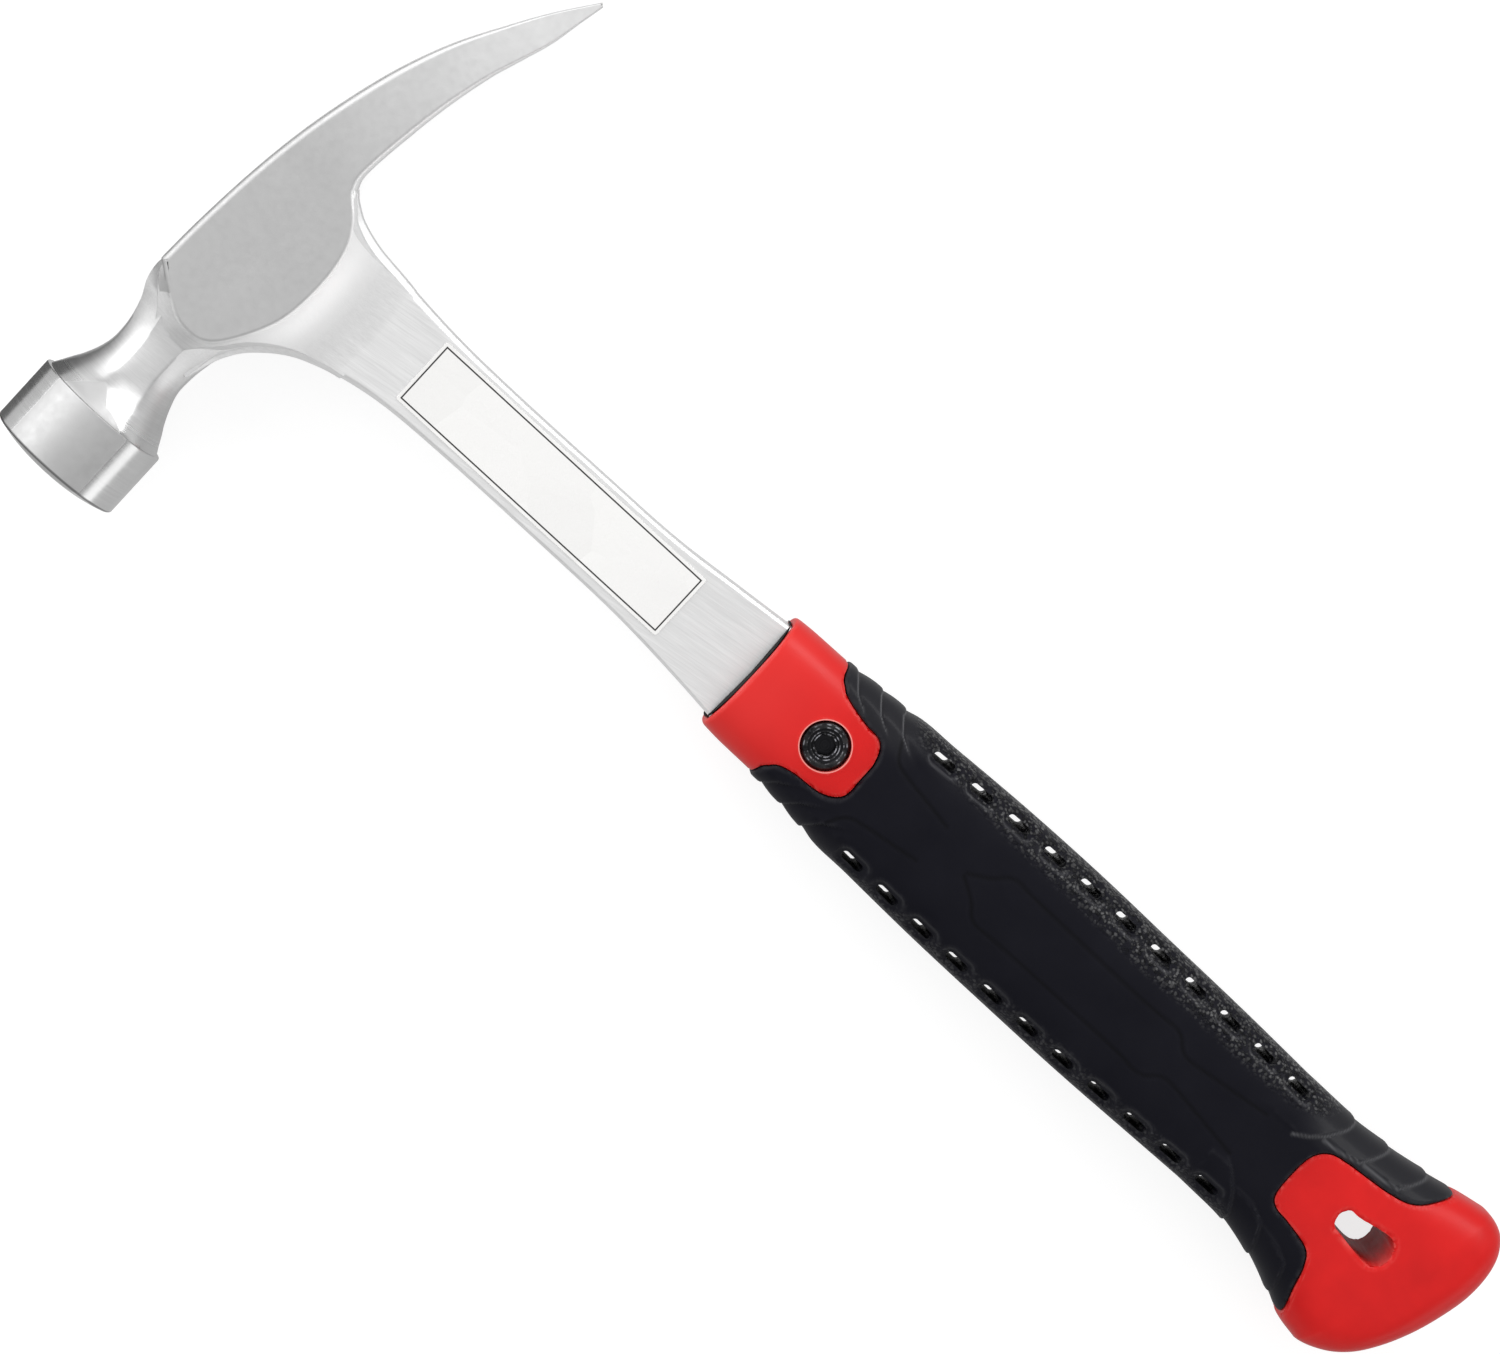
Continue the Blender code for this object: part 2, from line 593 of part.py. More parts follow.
def barrel_nut():
    """The nut's head lies in the recess on the hidden side, and its barrel takes the screw."""
    bore = SCREW_SHANK_RADIUS + GAP
    nut = turned("barrel_nut", fastener_head(SCREW_HEAD_RADIUS, SCREW_HEAD_BASE, SCREW_HEAD_TOP) + [
        (NUT_BARREL_RADIUS, SCREW_HEAD_BASE), (NUT_BARREL_RADIUS, -NUT_BARREL_TOP),
        (bore, -NUT_BARREL_TOP), (bore, SCREW_HEAD_BASE / 2 + GAP), (0, SCREW_HEAD_BASE / 2 + GAP),
    ], part=True)
    nut.location.x = SCREW_X
    nut.rotation_euler.x = math.pi
    join(nut, socket("nut_socket", -1), "DIFFERENCE")
    return nut


def label():
    low = SHANK_HALF + LABEL_GLUE
    return box(
        "label", (LABEL_START_X, LABEL_LOW_Y, low),
        (LABEL_START_X + LABEL_LENGTH, LABEL_LOW_Y + LABEL_WIDTH, low + LABEL_FILM), part=True,
    )


LOOKS = (
    (forged_head, (0.56, 0.57, 0.58), 0.32, 1.0),
    (handle_core, (0.62, 0.03, 0.03), 0.38, 0.0),
    (grip_sleeve, (0.02, 0.02, 0.022), 0.6, 0.0),
    (collar_seal, (0.02, 0.02, 0.02), 0.5, 0.0),
    (clamp_screw, (0.03, 0.03, 0.03), 0.35, 0.6),
    (barrel_nut, (0.03, 0.03, 0.03), 0.35, 0.6),
    (label, (0.86, 0.86, 0.86), 0.3, 0.0),
)

for build, colour, roughness, metallic in LOOKS:
    node = build()
    paint(node, colour, roughness, metallic)
for mesh_object in list(PARTS.objects) + list(CUTTERS.objects):
    smooth_shading(mesh_object)


def centre_on_floor():
    """Moves everything so that the origin is under the middle of the whole object, at its lowest point."""
    bpy.context.view_layer.update()
    graph = bpy.context.evaluated_depsgraph_get()
    corners = []
    for obj in PARTS.objects:
        real = obj.evaluated_get(graph)
        points = np.empty(len(real.data.vertices) * 3, np.float32)
        real.data.vertices.foreach_get("co", points)
        turn = np.array(real.matrix_world)
        corners.append(points.reshape(-1, 3) @ turn[:3, :3].T + turn[:3, 3])
    corners = np.concatenate(corners)
    low, high = corners.min(axis=0), corners.max(axis=0)
    ORIGIN.location = (-(low[0] + high[0]) / 2, -(low[1] + high[1]) / 2, -low[2])
    bpy.context.view_layer.update()
    print("size in mm", np.round((high - low) / MM, 2), "moved by", np.round(np.array(ORIGIN.location) / MM, 3))


centre_on_floor()
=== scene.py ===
# %% [markdown]
# # A one-piece framing hammer, dressed for a studio photograph
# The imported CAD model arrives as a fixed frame: a forged steel head whose tang runs down inside a
# red moulded handle, a black rubber sleeve over that, a clamp screw with its nut, a seal at the
# collar's mouth and a film label. Nothing here moves a CAD part. The cells below light it, give
# every surface its finish, and stand finer pieces in for the solids whose form needs more faces.

# %% Load the frame
import math
from contextlib import contextmanager

import bpy
import numpy as np
from mathutils import Matrix, Vector


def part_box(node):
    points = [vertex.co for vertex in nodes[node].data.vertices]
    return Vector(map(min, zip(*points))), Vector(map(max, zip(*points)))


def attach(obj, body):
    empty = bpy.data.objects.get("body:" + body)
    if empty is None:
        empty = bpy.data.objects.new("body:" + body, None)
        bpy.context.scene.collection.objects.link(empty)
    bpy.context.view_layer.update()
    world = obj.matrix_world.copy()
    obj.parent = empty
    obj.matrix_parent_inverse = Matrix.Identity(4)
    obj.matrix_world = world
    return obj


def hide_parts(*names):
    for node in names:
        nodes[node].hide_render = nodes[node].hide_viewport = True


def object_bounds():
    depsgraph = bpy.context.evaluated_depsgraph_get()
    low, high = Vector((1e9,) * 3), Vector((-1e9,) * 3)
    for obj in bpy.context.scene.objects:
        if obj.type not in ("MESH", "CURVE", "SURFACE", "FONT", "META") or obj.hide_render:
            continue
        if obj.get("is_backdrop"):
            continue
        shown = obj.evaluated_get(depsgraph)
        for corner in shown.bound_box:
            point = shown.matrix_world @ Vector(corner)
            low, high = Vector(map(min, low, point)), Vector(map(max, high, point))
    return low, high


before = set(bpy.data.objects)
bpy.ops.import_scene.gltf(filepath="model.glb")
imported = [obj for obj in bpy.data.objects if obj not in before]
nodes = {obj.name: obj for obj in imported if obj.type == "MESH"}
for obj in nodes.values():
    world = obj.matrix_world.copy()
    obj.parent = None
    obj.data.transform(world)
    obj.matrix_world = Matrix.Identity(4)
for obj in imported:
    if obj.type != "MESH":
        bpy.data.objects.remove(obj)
cad_low, cad_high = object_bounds()
print("nodes:", sorted(nodes))

# %% [markdown]
# ## One place to measure from
# The hammer is easiest to describe in its own millimetres: X runs down the handle from the top of
# the head, Y from the striking face to the claw, and Z out of the cheek, with zero half way
# through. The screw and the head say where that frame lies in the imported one.

# %% From hammer millimetres to the frame's metres
MM = 0.001
SCREW_X = 164.7
screw_low, screw_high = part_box("clamp_screw")
head_low, head_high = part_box("forged_head")
ORIGIN = Vector((
    (screw_low.x + screw_high.x) / 2 - SCREW_X * MM,
    (screw_low.y + screw_high.y) / 2,
    (head_low.z + head_high.z) / 2,
))


def at(x, y, z=0.0):
    """A point given in hammer millimetres, in the frame's metres."""
    return ORIGIN + Vector((x, y, z)) * MM


print("hammer origin in mm:", [round(c / MM, 3) for c in ORIGIN])

# %% [markdown]
# ## The camera
# The photograph looks almost straight down on the cheek from a metre away, a little nearer the
# head, with the handle running to the lower right. A long lens keeps the two ends at nearly the
# same scale. The camera is placed by where it stands, what it looks at and which way is up.

# %% Camera
camera_data = bpy.data.cameras.new("product_camera")
camera_data.lens = 115.2
camera_data.sensor_width = 36.0
camera_data.clip_start = 0.01
camera = bpy.data.objects.new("product_camera", camera_data)
bpy.context.scene.collection.objects.link(camera)
stand = at(27.6, 59.5, 970.6)
ahead = (at(145.2, -0.7) - stand).normalized()
right = ahead.cross(Vector((-0.681, 0.733, 0))).normalized()
turned = Matrix((right, right.cross(ahead), -ahead)).transposed().to_4x4()
camera.matrix_world = Matrix.Translation(stand) @ turned
bpy.context.scene.camera = camera
print("camera at mm:", [round(c / MM, 1) for c in stand])

# %% [markdown]
# ## Studio: floor, world and soft boxes
# Steel shows what stands round it, so the room matters more than on a matt object. The room here
# is a pale one, lightest overhead, with a greyer belt half way down, because it is that belt which
# puts the darker bands on the bell and the neck. The floor is a pale sheet. It adds a little light
# of its own to what the camera and the reflections see, which takes it to white, and the hammer's
# soft shadow still falls on it.

# %% Ways to build a node tree
def build_in(new_tree):
    """Clears a node tree and makes it the one that put builds in."""
    global tree
    tree = new_tree
    tree.nodes.clear()


def new_material(name):
    """An empty node material, ready for its shader."""
    material = bpy.data.materials.new(name)
    material.use_nodes = True
    build_in(material.node_tree)
    return material


def put(kind, inputs=None, **settings):
    """A node with its settings and inputs, in the tree being built. Gives the node's outputs."""
    made = tree.nodes.new("ShaderNode" + kind)
    for name, value in settings.items():
        setattr(made, name, value)
    for key, value in (inputs or {}).items():
        if isinstance(value, bpy.types.NodeSocket):
            tree.links.new(value, made.inputs[key])
        else:
            made.inputs[key].default_value = value
    return made.outputs


def sums(operation, *values):
    return put("Math", dict(enumerate(values)), operation=operation)[0]


def plus(a, b):
    return sums("ADD", a, b)


def minus(a, b):
    return sums("SUBTRACT", a, b)


def times(a, b):
    return sums("MULTIPLY", a, b)


def apart(a, b):
    """How far two values lie from each other."""
    return sums("ABSOLUTE", minus(a, b))


def grey(value, blue=0.0):
    return (value, value, value + blue, 1)


# %% Floor
FLOOR_COLOUR = 0.33
FLOOR_GLOW = 0.78
MIRRORED_SHARE = 0.4


def seen_directly():
    """1 for what the camera sees, less for a reflection or a clear pane, 0 for what lights things."""
    path = put("LightPath")
    mirrored = sums("MAXIMUM", path["Is Glossy Ray"], path["Is Transmission Ray"])
    return sums("MAXIMUM", path["Is Camera Ray"], times(mirrored, MIRRORED_SHARE))


bpy.ops.mesh.primitive_plane_add(size=8, location=(0, 0, -0.0002))
floor = bpy.context.object
floor.name = "studio_floor"
floor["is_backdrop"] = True
floor_material = new_material("pale_floor")
paper = put("BsdfDiffuse", {"Color": grey(FLOOR_COLOUR)})
glow = put("Emission", {"Strength": times(seen_directly(), FLOOR_GLOW)})
put("OutputMaterial", {"Surface": put("AddShader", {0: paper[0], 1: glow[0]})[0]})
floor.data.materials.append(floor_material)
print("floor:", floor_material.name)

# %% World
ROOM = [
    # height above the horizon as a share, and the room's paleness there
    (0.0, 0.86), (0.2, 0.79), (0.4, 0.48), (0.58, 0.41), (0.8, 0.66), (0.93, 0.82), (1.0, 0.86),
]
world = bpy.data.worlds.new("pale_room")
bpy.context.scene.world = world
world.use_nodes = True
build_in(world.node_tree)
direction = put("SeparateXYZ", {0: put("TexCoord")["Generated"]})
bands = put("ValToRGB", {0: direction["Z"]})
ramp = world.node_tree.nodes["Color Ramp"].color_ramp
ramp.interpolation = "EASE"
while len(ramp.elements) < len(ROOM):
    ramp.elements.new(0.5)
for element, (height, paleness) in zip(ramp.elements, ROOM):
    element.position = height
    element.color = grey(paleness)
on_camera = put("LightPath")["Is Camera Ray"]
level = put("Mix", {0: on_camera, 6: bands[0], 7: grey(1.0)}, data_type="RGBA")[2]
put("OutputWorld", {"Surface": put("Background", {"Color": level})[0]})
bpy.context.scene.view_settings.view_transform = "Standard"
print("room bands:", ROOM)

# %% Soft boxes
SOFT_BOXES = [
    # name, middle in metres from the hammer's middle, width, height, watts
    ("box_beyond_the_head", (-1.15, 0.05, 0.62), 1.3, 1.05, 9.8),
    ("strip_beyond_the_butt", (1.3, -0.2, 0.28), 1.2, 0.5, 1.4),
    ("strip_over_the_claw", (0.15, 1.2, 0.8), 1.3, 0.45, 9.8),
]
for name, place, width, height, watts in SOFT_BOXES:
    lamp_data = bpy.data.lights.new(name, "AREA")
    lamp_data.shape = "RECTANGLE"
    lamp_data.size = width
    lamp_data.size_y = height
    lamp_data.energy = watts
    lamp = bpy.data.objects.new(name, lamp_data)
    bpy.context.scene.collection.objects.link(lamp)
    lamp.location = place
    lamp.rotation_mode = "QUATERNION"
    lamp.rotation_quaternion = (-Vector(place)).to_track_quat("-Z", "Y")
    lamp.visible_camera = False
print("lamps:", [b[0] for b in SOFT_BOXES])

# %% [markdown]
# A photographer stands a dark card beside bright metal, out of the picture, so that its edge turns
# dark against a white ground. Here three lie flat in a row beyond the top of the head, and the one
# beside the neck reaches out further, because the neck stands back from the bell. Only reflections
# see them, so they throw no shadow and take no light from the floor.

# %% Dark cards
CARD_EDGE = -0.176
CARDS = [
    # name, how far out it reaches, and its two ends along Y, all in metres
    ("card_by_the_bell", -0.204, -0.3, -0.056), ("card_by_the_neck", -0.27, -0.056, -0.022),
    ("card_by_the_cheek", -0.204, -0.022, 0.3),
]
card_material = new_material("dark_card")
felt = put("BsdfDiffuse", {"Color": grey(0.14)})
put("OutputMaterial", {"Surface": felt[0]})
for name, reach, start, end in CARDS:
    middle = ((CARD_EDGE + reach) / 2, (start + end) / 2, 0.001)
    bpy.ops.mesh.primitive_plane_add(size=1, location=middle)
    card = bpy.context.object
    card.name = name
    card.scale = (CARD_EDGE - reach, end - start, 1)
    bpy.ops.object.transform_apply(location=False, rotation=False, scale=True)
    card.visible_camera = card.visible_shadow = card.visible_diffuse = False
    card.data.materials.append(card_material)
    card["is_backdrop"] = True
print("cards:", [c[0] for c in CARDS])

# %% [markdown]
# ## Effects that several finishes share
# A maker's finishes repeat a few marks: lines left by a belt or a lathe tool, cloudy patches where
# the tone drifts, a fine moulded or blasted grain, and paler sharp edges, which are wear from handling
# on the plastics and painted highlights on the screw and the nut. Each is a node group with named
# inputs, built once, and each finish sets its own values. All of them measure in millimetres on the
# hammer, so a size typed in a finish is a size on the real thing.

# %% Ways to build an effect
def new_effect(name, **sizes):
    """An empty group that takes a place and some sizes: what comes in, and how to give a result."""
    group = bpy.data.node_groups.new(name, "ShaderNodeTree")
    group.interface.new_socket("Vector", in_out="INPUT", socket_type="NodeSocketVector")
    for label, value in sizes.items():
        socket = group.interface.new_socket(label, in_out="INPUT", socket_type="NodeSocketFloat")
        socket.default_value = value
    group.interface.new_socket("Result", in_out="OUTPUT", socket_type="NodeSocketFloat")
    build_in(group)
    came = group.nodes.new("NodeGroupInput").outputs
    gone = group.nodes.new("NodeGroupOutput").inputs
    return group, came, lambda value: group.links.new(value, gone["Result"])


def noise(vector, scale, detail=2.0, roughness=0.5):
    inputs = {"Vector": vector, "Scale": scale, "Detail": detail, "Roughness": roughness}
    return put("TexNoise", inputs)["Fac"]


def spread(value, low, high, to_low=0.0, to_high=1.0):
    """The value's range from low to high, stretched over a new range and held inside it."""
    return put("MapRange", {0: value, 1: low, 2: high, 3: to_low, 4: to_high})[0]


# %% The effects
lines_group, came, give = new_effect("tool_lines", Length=8.0, Width=0.35)
axes = put("SeparateXYZ", {0: came["Vector"]})
across = sums("DIVIDE", 1.0, came["Width"])
long_way = put("CombineXYZ", {
    "X": sums("DIVIDE", axes["X"], came["Length"]),
    "Y": times(axes["Y"], across), "Z": times(axes["Z"], across),
})[0]
finer_way = put("VectorMath", {0: long_way, 1: (1.7, 2.9, 2.9)}, operation="MULTIPLY")[0]
coarse, fine = noise(long_way, 1.0, 3.0, 0.6), noise(finer_way, 1.0)
give(spread(plus(times(coarse, 0.6), times(fine, 0.4)), 0.32, 0.68))

cloud_group, came, give = new_effect("cloudy_patches", Size=8.0)
give(spread(noise(came["Vector"], sums("DIVIDE", 1.0, came["Size"]), 4.0, 0.55), 0.3, 0.7))

grain_group, came, give = new_effect("fine_grain", Size=0.3)
pimples = put("TexVoronoi", {"Vector": came["Vector"], "Scale": sums("DIVIDE", 1.0, came["Size"])})
dust = noise(came["Vector"], sums("DIVIDE", 1.4, came["Size"]))
give(plus(times(minus(1.0, pimples["Distance"]), 0.6), times(dust, 0.4)))

edge_group, came, give = new_effect("edge_wear_and_highlight", Reach=0.03)
edge = minus(put("NewGeometry")["Pointiness"], 0.5)
broken = noise(came["Vector"], 0.5, 3.0)
give(times(spread(edge, 0.004, came["Reach"]), spread(broken, 0.35, 0.6)))
print("effects:", [g.name for g in (lines_group, cloud_group, grain_group, edge_group)])

# %% Ways to use them
def effect(group, vector, **values):
    """One effect placed in a finish."""
    return put("Group", {"Vector": vector, **values}, node_tree=group)[0]


def hammer_mm(turn=0.0):
    """The piece's own coordinates in hammer millimetres, turned about Z where asked."""
    moved = put("Mapping", {
        "Vector": put("TexCoord")["Object"], "Location": -ORIGIN / MM, "Scale": (1 / MM,) * 3,
    })[0]
    return put("Mapping", {"Vector": moved, "Rotation": (0, 0, turn)})[0] if turn else moved


def round_axis(vector, centre, axis):
    """Coordinates round a shaft, for lines that run round it, and the distance from its axis."""
    shifted = put("VectorMath", {0: vector, 1: centre}, operation="SUBTRACT")[0]
    part = put("SeparateXYZ", {0: shifted})
    a, b = ("Z", "X") if axis == "Y" else ("X", "Y")
    radius = sums("SQRT", plus(sums("POWER", part[a], 2.0), sums("POWER", part[b], 2.0)))
    way = times(sums("ARCTAN2", part[a], part[b]), 10.0)
    return put("CombineXYZ", {"X": way, "Y": radius, "Z": part[axis]})[0], radius


def blend_colour(factor, first, second):
    return put("Mix", {0: factor, 6: first, 7: second}, data_type="RGBA")[2]


def blend_value(factor, first, second):
    return put("Mix", {0: factor, 2: first, 3: second})[0]


def bumped(height, distance, strength=1.0):
    """A bump whose full height is this many millimetres."""
    return put("Bump", {"Height": height, "Distance": distance * MM, "Strength": strength})[0]


def shade(uniform, **varied):
    """The Principled shader: numbers that hold all over, and sockets that vary over the surface."""
    inputs = {**uniform, **{name.replace("_", " "): value for name, value in varied.items()}}
    put("OutputMaterial", {"Surface": put("BsdfPrincipled", inputs)[0]})


# %% [markdown]
# ## Forged steel
# One piece of steel carries three finishes. The flats of the cheek and the claw are left matt and
# grey, with a faint cloudiness, and the claw is painted paler toward its tip, partly its brushing and
# partly painted light. The shank, the scoop and the root of the neck are linished on a belt, which
# leaves fine bright lines almost along the handle, and the scoop is painted almost white as a
# painted highlight. The bell is turned, so its lines run round it, and it is the most polished; a thin
# dark line of painted shade runs round its face's rim. A mask for each zone comes from where a point
# lies on the hammer, and blends the three colours, roughnesses and bumps.

# %% Steel finish
BELT_LEAN = math.radians(-8)
BELL_MIDDLE = (12.25, 0.0, 0.0)
TOP_SLOPE, TOP_BEND = 0.0571, 0.00416
# each pair says where a zone's mask starts and where it is full
MATT_HEIGHT = (12.7, 12.96)
TURNED_Y, POLISHED_Y, PALE_CLAW_Y = (-44.0, -48.5), (-22.0, -42.0), (18.0, 66.0)
SCOOP_HEIGHT, SCOOP_Y = (5.35, 7.5), (-22.0, -14.0)
RIM_Y, RIM_RADIUS = (-63.2, -63.45), (14.2, 14.42)
forged_steel = new_material("forged_steel")
mm = hammer_mm()
place = put("SeparateXYZ", {0: mm})
height = sums("ABSOLUTE", place["Z"])
bend = times(sums("POWER", place["Y"], 2.0), TOP_BEND)
top_line = sums("MULTIPLY_ADD", place["Y"], TOP_SLOPE, bend)
below_top = minus(place["X"], top_line)
over_edge = spread(below_top, 4.0, 6.0, 2.2, 0.0)
matt = spread(plus(height, over_edge), *MATT_HEIGHT)
turned = spread(place["Y"], *TURNED_Y)
polished = spread(place["Y"], *POLISHED_Y)
patches = effect(cloud_group, mm, Size=9.0)
specks = effect(cloud_group, mm, Size=1.6)
belt = effect(lines_group, hammer_mm(BELT_LEAN), Length=9.0, Width=0.42)
wide_belt = effect(lines_group, hammer_mm(BELT_LEAN), Length=26.0, Width=1.6)
round_bell, from_axis = round_axis(mm, BELL_MIDDLE, "Y")
lathe_lines = effect(lines_group, round_bell, Length=30.0, Width=0.3)
blasted = effect(grain_group, mm, Size=0.25)

belt_tone = plus(times(belt, 0.6), times(wide_belt, 0.4))
linished_colour = blend_colour(belt_tone, grey(0.76), grey(0.94))
bell_tone = plus(times(lathe_lines, 0.7), times(patches, 0.3))
bell_colour = blend_colour(bell_tone, grey(0.58), grey(0.72))
matt_tone = plus(times(patches, 0.45), times(specks, 0.55))
matt_colour = blend_colour(matt_tone, grey(0.525), grey(0.577))
# Toward the claw's tip the flat is painted paler: partly its brushing, partly painted light.
painted_paler_tip = blend_colour(matt_tone, grey(0.73), grey(0.81))
matt_colour = blend_colour(spread(place["Y"], *PALE_CLAW_Y), matt_colour, painted_paler_tip)
# The scoop is painted almost white: a painted highlight.
scoop_painted_highlight = times(spread(height, *SCOOP_HEIGHT), spread(place["Y"], *SCOOP_Y))
linished_colour = blend_colour(scoop_painted_highlight, linished_colour, grey(0.99))
colour = blend_colour(polished, linished_colour, bell_colour)
colour = blend_colour(matt, colour, matt_colour)
# A thin dark line painted round the face's rim: painted shade.
rim_painted_shade = times(spread(place["Y"], *RIM_Y), spread(from_axis, *RIM_RADIUS))
colour = blend_colour(rim_painted_shade, colour, grey(0.24))

roughness = blend_value(belt, 0.42, 0.54)
roughness = blend_value(polished, roughness, blend_value(lathe_lines, 0.31, 0.37))
roughness = blend_value(turned, roughness, blend_value(lathe_lines, 0.17, 0.27))
roughness = blend_value(matt, roughness, blend_value(specks, 0.5, 0.62))

marks = blend_value(turned, belt, lathe_lines)
marks = times(marks, blend_value(polished, 1.0, 0.35))
marks = times(marks, minus(1.0, matt))
marks = plus(marks, times(times(matt, blasted), 0.35))
shade({"Metallic": 1.0}, Base_Color=colour, Roughness=roughness, Normal=bumped(marks, 0.012))
print("finish:", forged_steel.name)

# %% [markdown]
# ## Red moulding
# The collar and the butt are a hard glossy plastic. A moulded part is never quite one colour: the
# tone drifts a little, the surface has a very fine pebble that softens its highlights, and edges
# that meet a hand or a bench go paler. A pale line is painted round the screw's recess as a painted
# highlight on its thin lip, and toward its mouth the collar is painted a little paler as painted light.

# %% Red plastic finish
RECESS = 5.3
LIP_MIDDLE = RECESS + 0.13
RUBBED_X, PALE_COLLAR_X = (336.0, 330.0), (168.0, 149.0)
red_plastic = new_material("red_plastic")
mm = hammer_mm()
place = put("SeparateXYZ", {0: mm})
_, from_screw = round_axis(mm, (SCREW_X, 0.0, 0.0), "Z")
# A pale line painted round the screw's recess: a painted highlight on its thin lip.
lip = spread(apart(from_screw, LIP_MIDDLE), 0.16, 0.06)
lip = times(lip, spread(sums("ABSOLUTE", place["Z"]), 8.0, 9.5))
patches = effect(cloud_group, mm, Size=12.0)
pebble = effect(grain_group, mm, Size=0.55)
wear_and_highlight = times(effect(edge_group, mm, Reach=0.05), spread(place["X"], *RUBBED_X))
colour = blend_colour(patches, (0.57, 0.006, 0.006, 1), (0.67, 0.009, 0.008, 1))
# Toward its mouth the collar is painted paler: painted light.
mouth_painted_light = spread(place["X"], *PALE_COLLAR_X, 0.0, 0.9)
colour = blend_colour(mouth_painted_light, colour, (0.71, 0.026, 0.023, 1))
colour = blend_colour(times(wear_and_highlight, 0.35), colour, (0.8, 0.16, 0.14, 1))
colour = blend_colour(times(lip, 0.65), colour, (0.95, 0.45, 0.4, 1))
roughness = plus(blend_value(patches, 0.33, 0.42), times(wear_and_highlight, 0.1))
shade(
    {"Specular IOR Level": 0.23}, Base_Color=colour, Roughness=roughness,
    Normal=bumped(pebble, 0.012),
)
print("finish:", red_plastic.name)

# %% [markdown]
# ## Black rubber
# The sleeve is soft and satin in the middle, where it is smooth. Along both rows of slots it is
# moulded with a leather grain, shiny little pillows about a millimetre across. The sleeve's mesh
# says where the grain lies, in an attribute written when the skin is shaped, and a Voronoi pattern
# makes the pillows: raised in the middle of each cell, and dull in the creases between. A random
# share of the pillows is painted bright as painted glints. Other attributes carry painted highlights
# on the crests of the scales and the slots' rims, a painted sheen on the upper side of both ends,
# and painted shade in the panel grooves.

# %% Rubber finish
sleeve_rubber = new_material("sleeve_rubber")
mm = hammer_mm()
grained = put("Attribute", attribute_name="grain")["Fac"]
patches = effect(cloud_group, mm, Size=10.0)
satin = effect(grain_group, mm, Size=0.35)
# Painted highlights along the scales' crests and the slots' rims, with wear on sharp edges.
ridge_highlights = put("Attribute", attribute_name="ridge_highlight")["Fac"]
wear_and_highlight = times(effect(edge_group, mm, Reach=0.08), 0.12)
wear_and_highlight = sums("MAXIMUM", wear_and_highlight, times(ridge_highlights, 0.6))
drift = put("TexNoise", {"Vector": mm, "Scale": 0.6})["Color"]
drift = put("VectorMath", {0: drift, "Scale": 0.9}, operation="SCALE")[0]
warped = put("VectorMath", {0: mm, 1: drift}, operation="ADD")[0]
cells = put("TexVoronoi", {"Vector": warped, "Scale": 1.25, "Smoothness": 0.05}, feature="SMOOTH_F1")
pillow = spread(cells["Distance"], 0.62, 0.36)
colour = blend_colour(patches, grey(0.003, 0.0035), grey(0.005, 0.004))
polish = times(grained, pillow)
# A random share of the pillows' tops is painted bright: painted glints.
glint_cells = spread(put("SeparateColor", {0: cells["Color"]})[0], 0.25, 1.0)
painted_glint_colour = blend_colour(glint_cells, grey(0.002, 0.001), grey(0.09, 0.002))
colour = blend_colour(polish, colour, painted_glint_colour)
roughness = blend_value(polish, blend_value(patches, 0.46, 0.56), 0.26)
height = plus(times(polish, 0.3), times(satin, 0.008))
# A painted sheen, paler and glossier, on the upper side of both ends of the sleeve.
painted_sheen = put("Attribute", attribute_name="upper_end_sheen")["Fac"]
coat = times(painted_sheen, blend_value(patches, 0.05, 0.1))
coat = sums("MAXIMUM", times(polish, 0.12), coat)
colour = blend_colour(times(painted_sheen, 0.5), colour, grey(0.022, 0.003))
colour = blend_colour(wear_and_highlight, colour, grey(0.2, 0.012))
# The panel grooves are painted darker: painted shade.
groove_shade = times(put("Attribute", attribute_name="groove_shade")["Fac"], 0.6)
colour = blend_colour(groove_shade, colour, grey(0.0))
shade(
    {"Specular IOR Level": 0.11, "Coat Roughness": 0.2}, Base_Color=colour,
    Roughness=roughness, Coat_Weight=coat, Normal=bumped(height, 1.0),
)
print("finish:", sleeve_rubber.name)

# %% [markdown]
# ## Small parts: seal, screw, nut and label
# The seal is plain soft rubber, duller than the sleeve. The screw and the nut are steel with a black
# oxide skin over turning marks that run round their axis, with painted highlights as pale rings on
# the crests of the turning and on the sharp edges. The label is a glossy white film with a thin
# printed frame, gone slightly uneven where it was pressed down. Its frame lies a fixed margin inside
# the film's own edge, so it is drawn from the distance to it.

# %% Seal finish
seal_rubber = new_material("seal_rubber")
mm = hammer_mm()
patches = effect(cloud_group, mm, Size=4.0)
colour = blend_colour(patches, grey(0.002), grey(0.005))
skin_grain = effect(grain_group, mm, Size=0.3)
shade(
    {"Specular IOR Level": 0.07}, Base_Color=colour,
    Roughness=blend_value(patches, 0.5, 0.65), Normal=bumped(skin_grain, 0.01),
)

# %% Black oxide finish
CRESTS = (2.35, 2.95, 3.75, 4.4)
black_oxide = new_material("black_oxide")
mm = hammer_mm()
round_screw, from_screw = round_axis(mm, (SCREW_X, 0.0, 0.0), "Z")
rings = effect(lines_group, round_screw, Length=40.0, Width=0.3)
wear_and_highlight = effect(edge_group, mm, Reach=0.05)
patches = effect(cloud_group, mm, Size=2.0)
colour = blend_colour(rings, grey(0.008, 0.001), grey(0.022, 0.003))
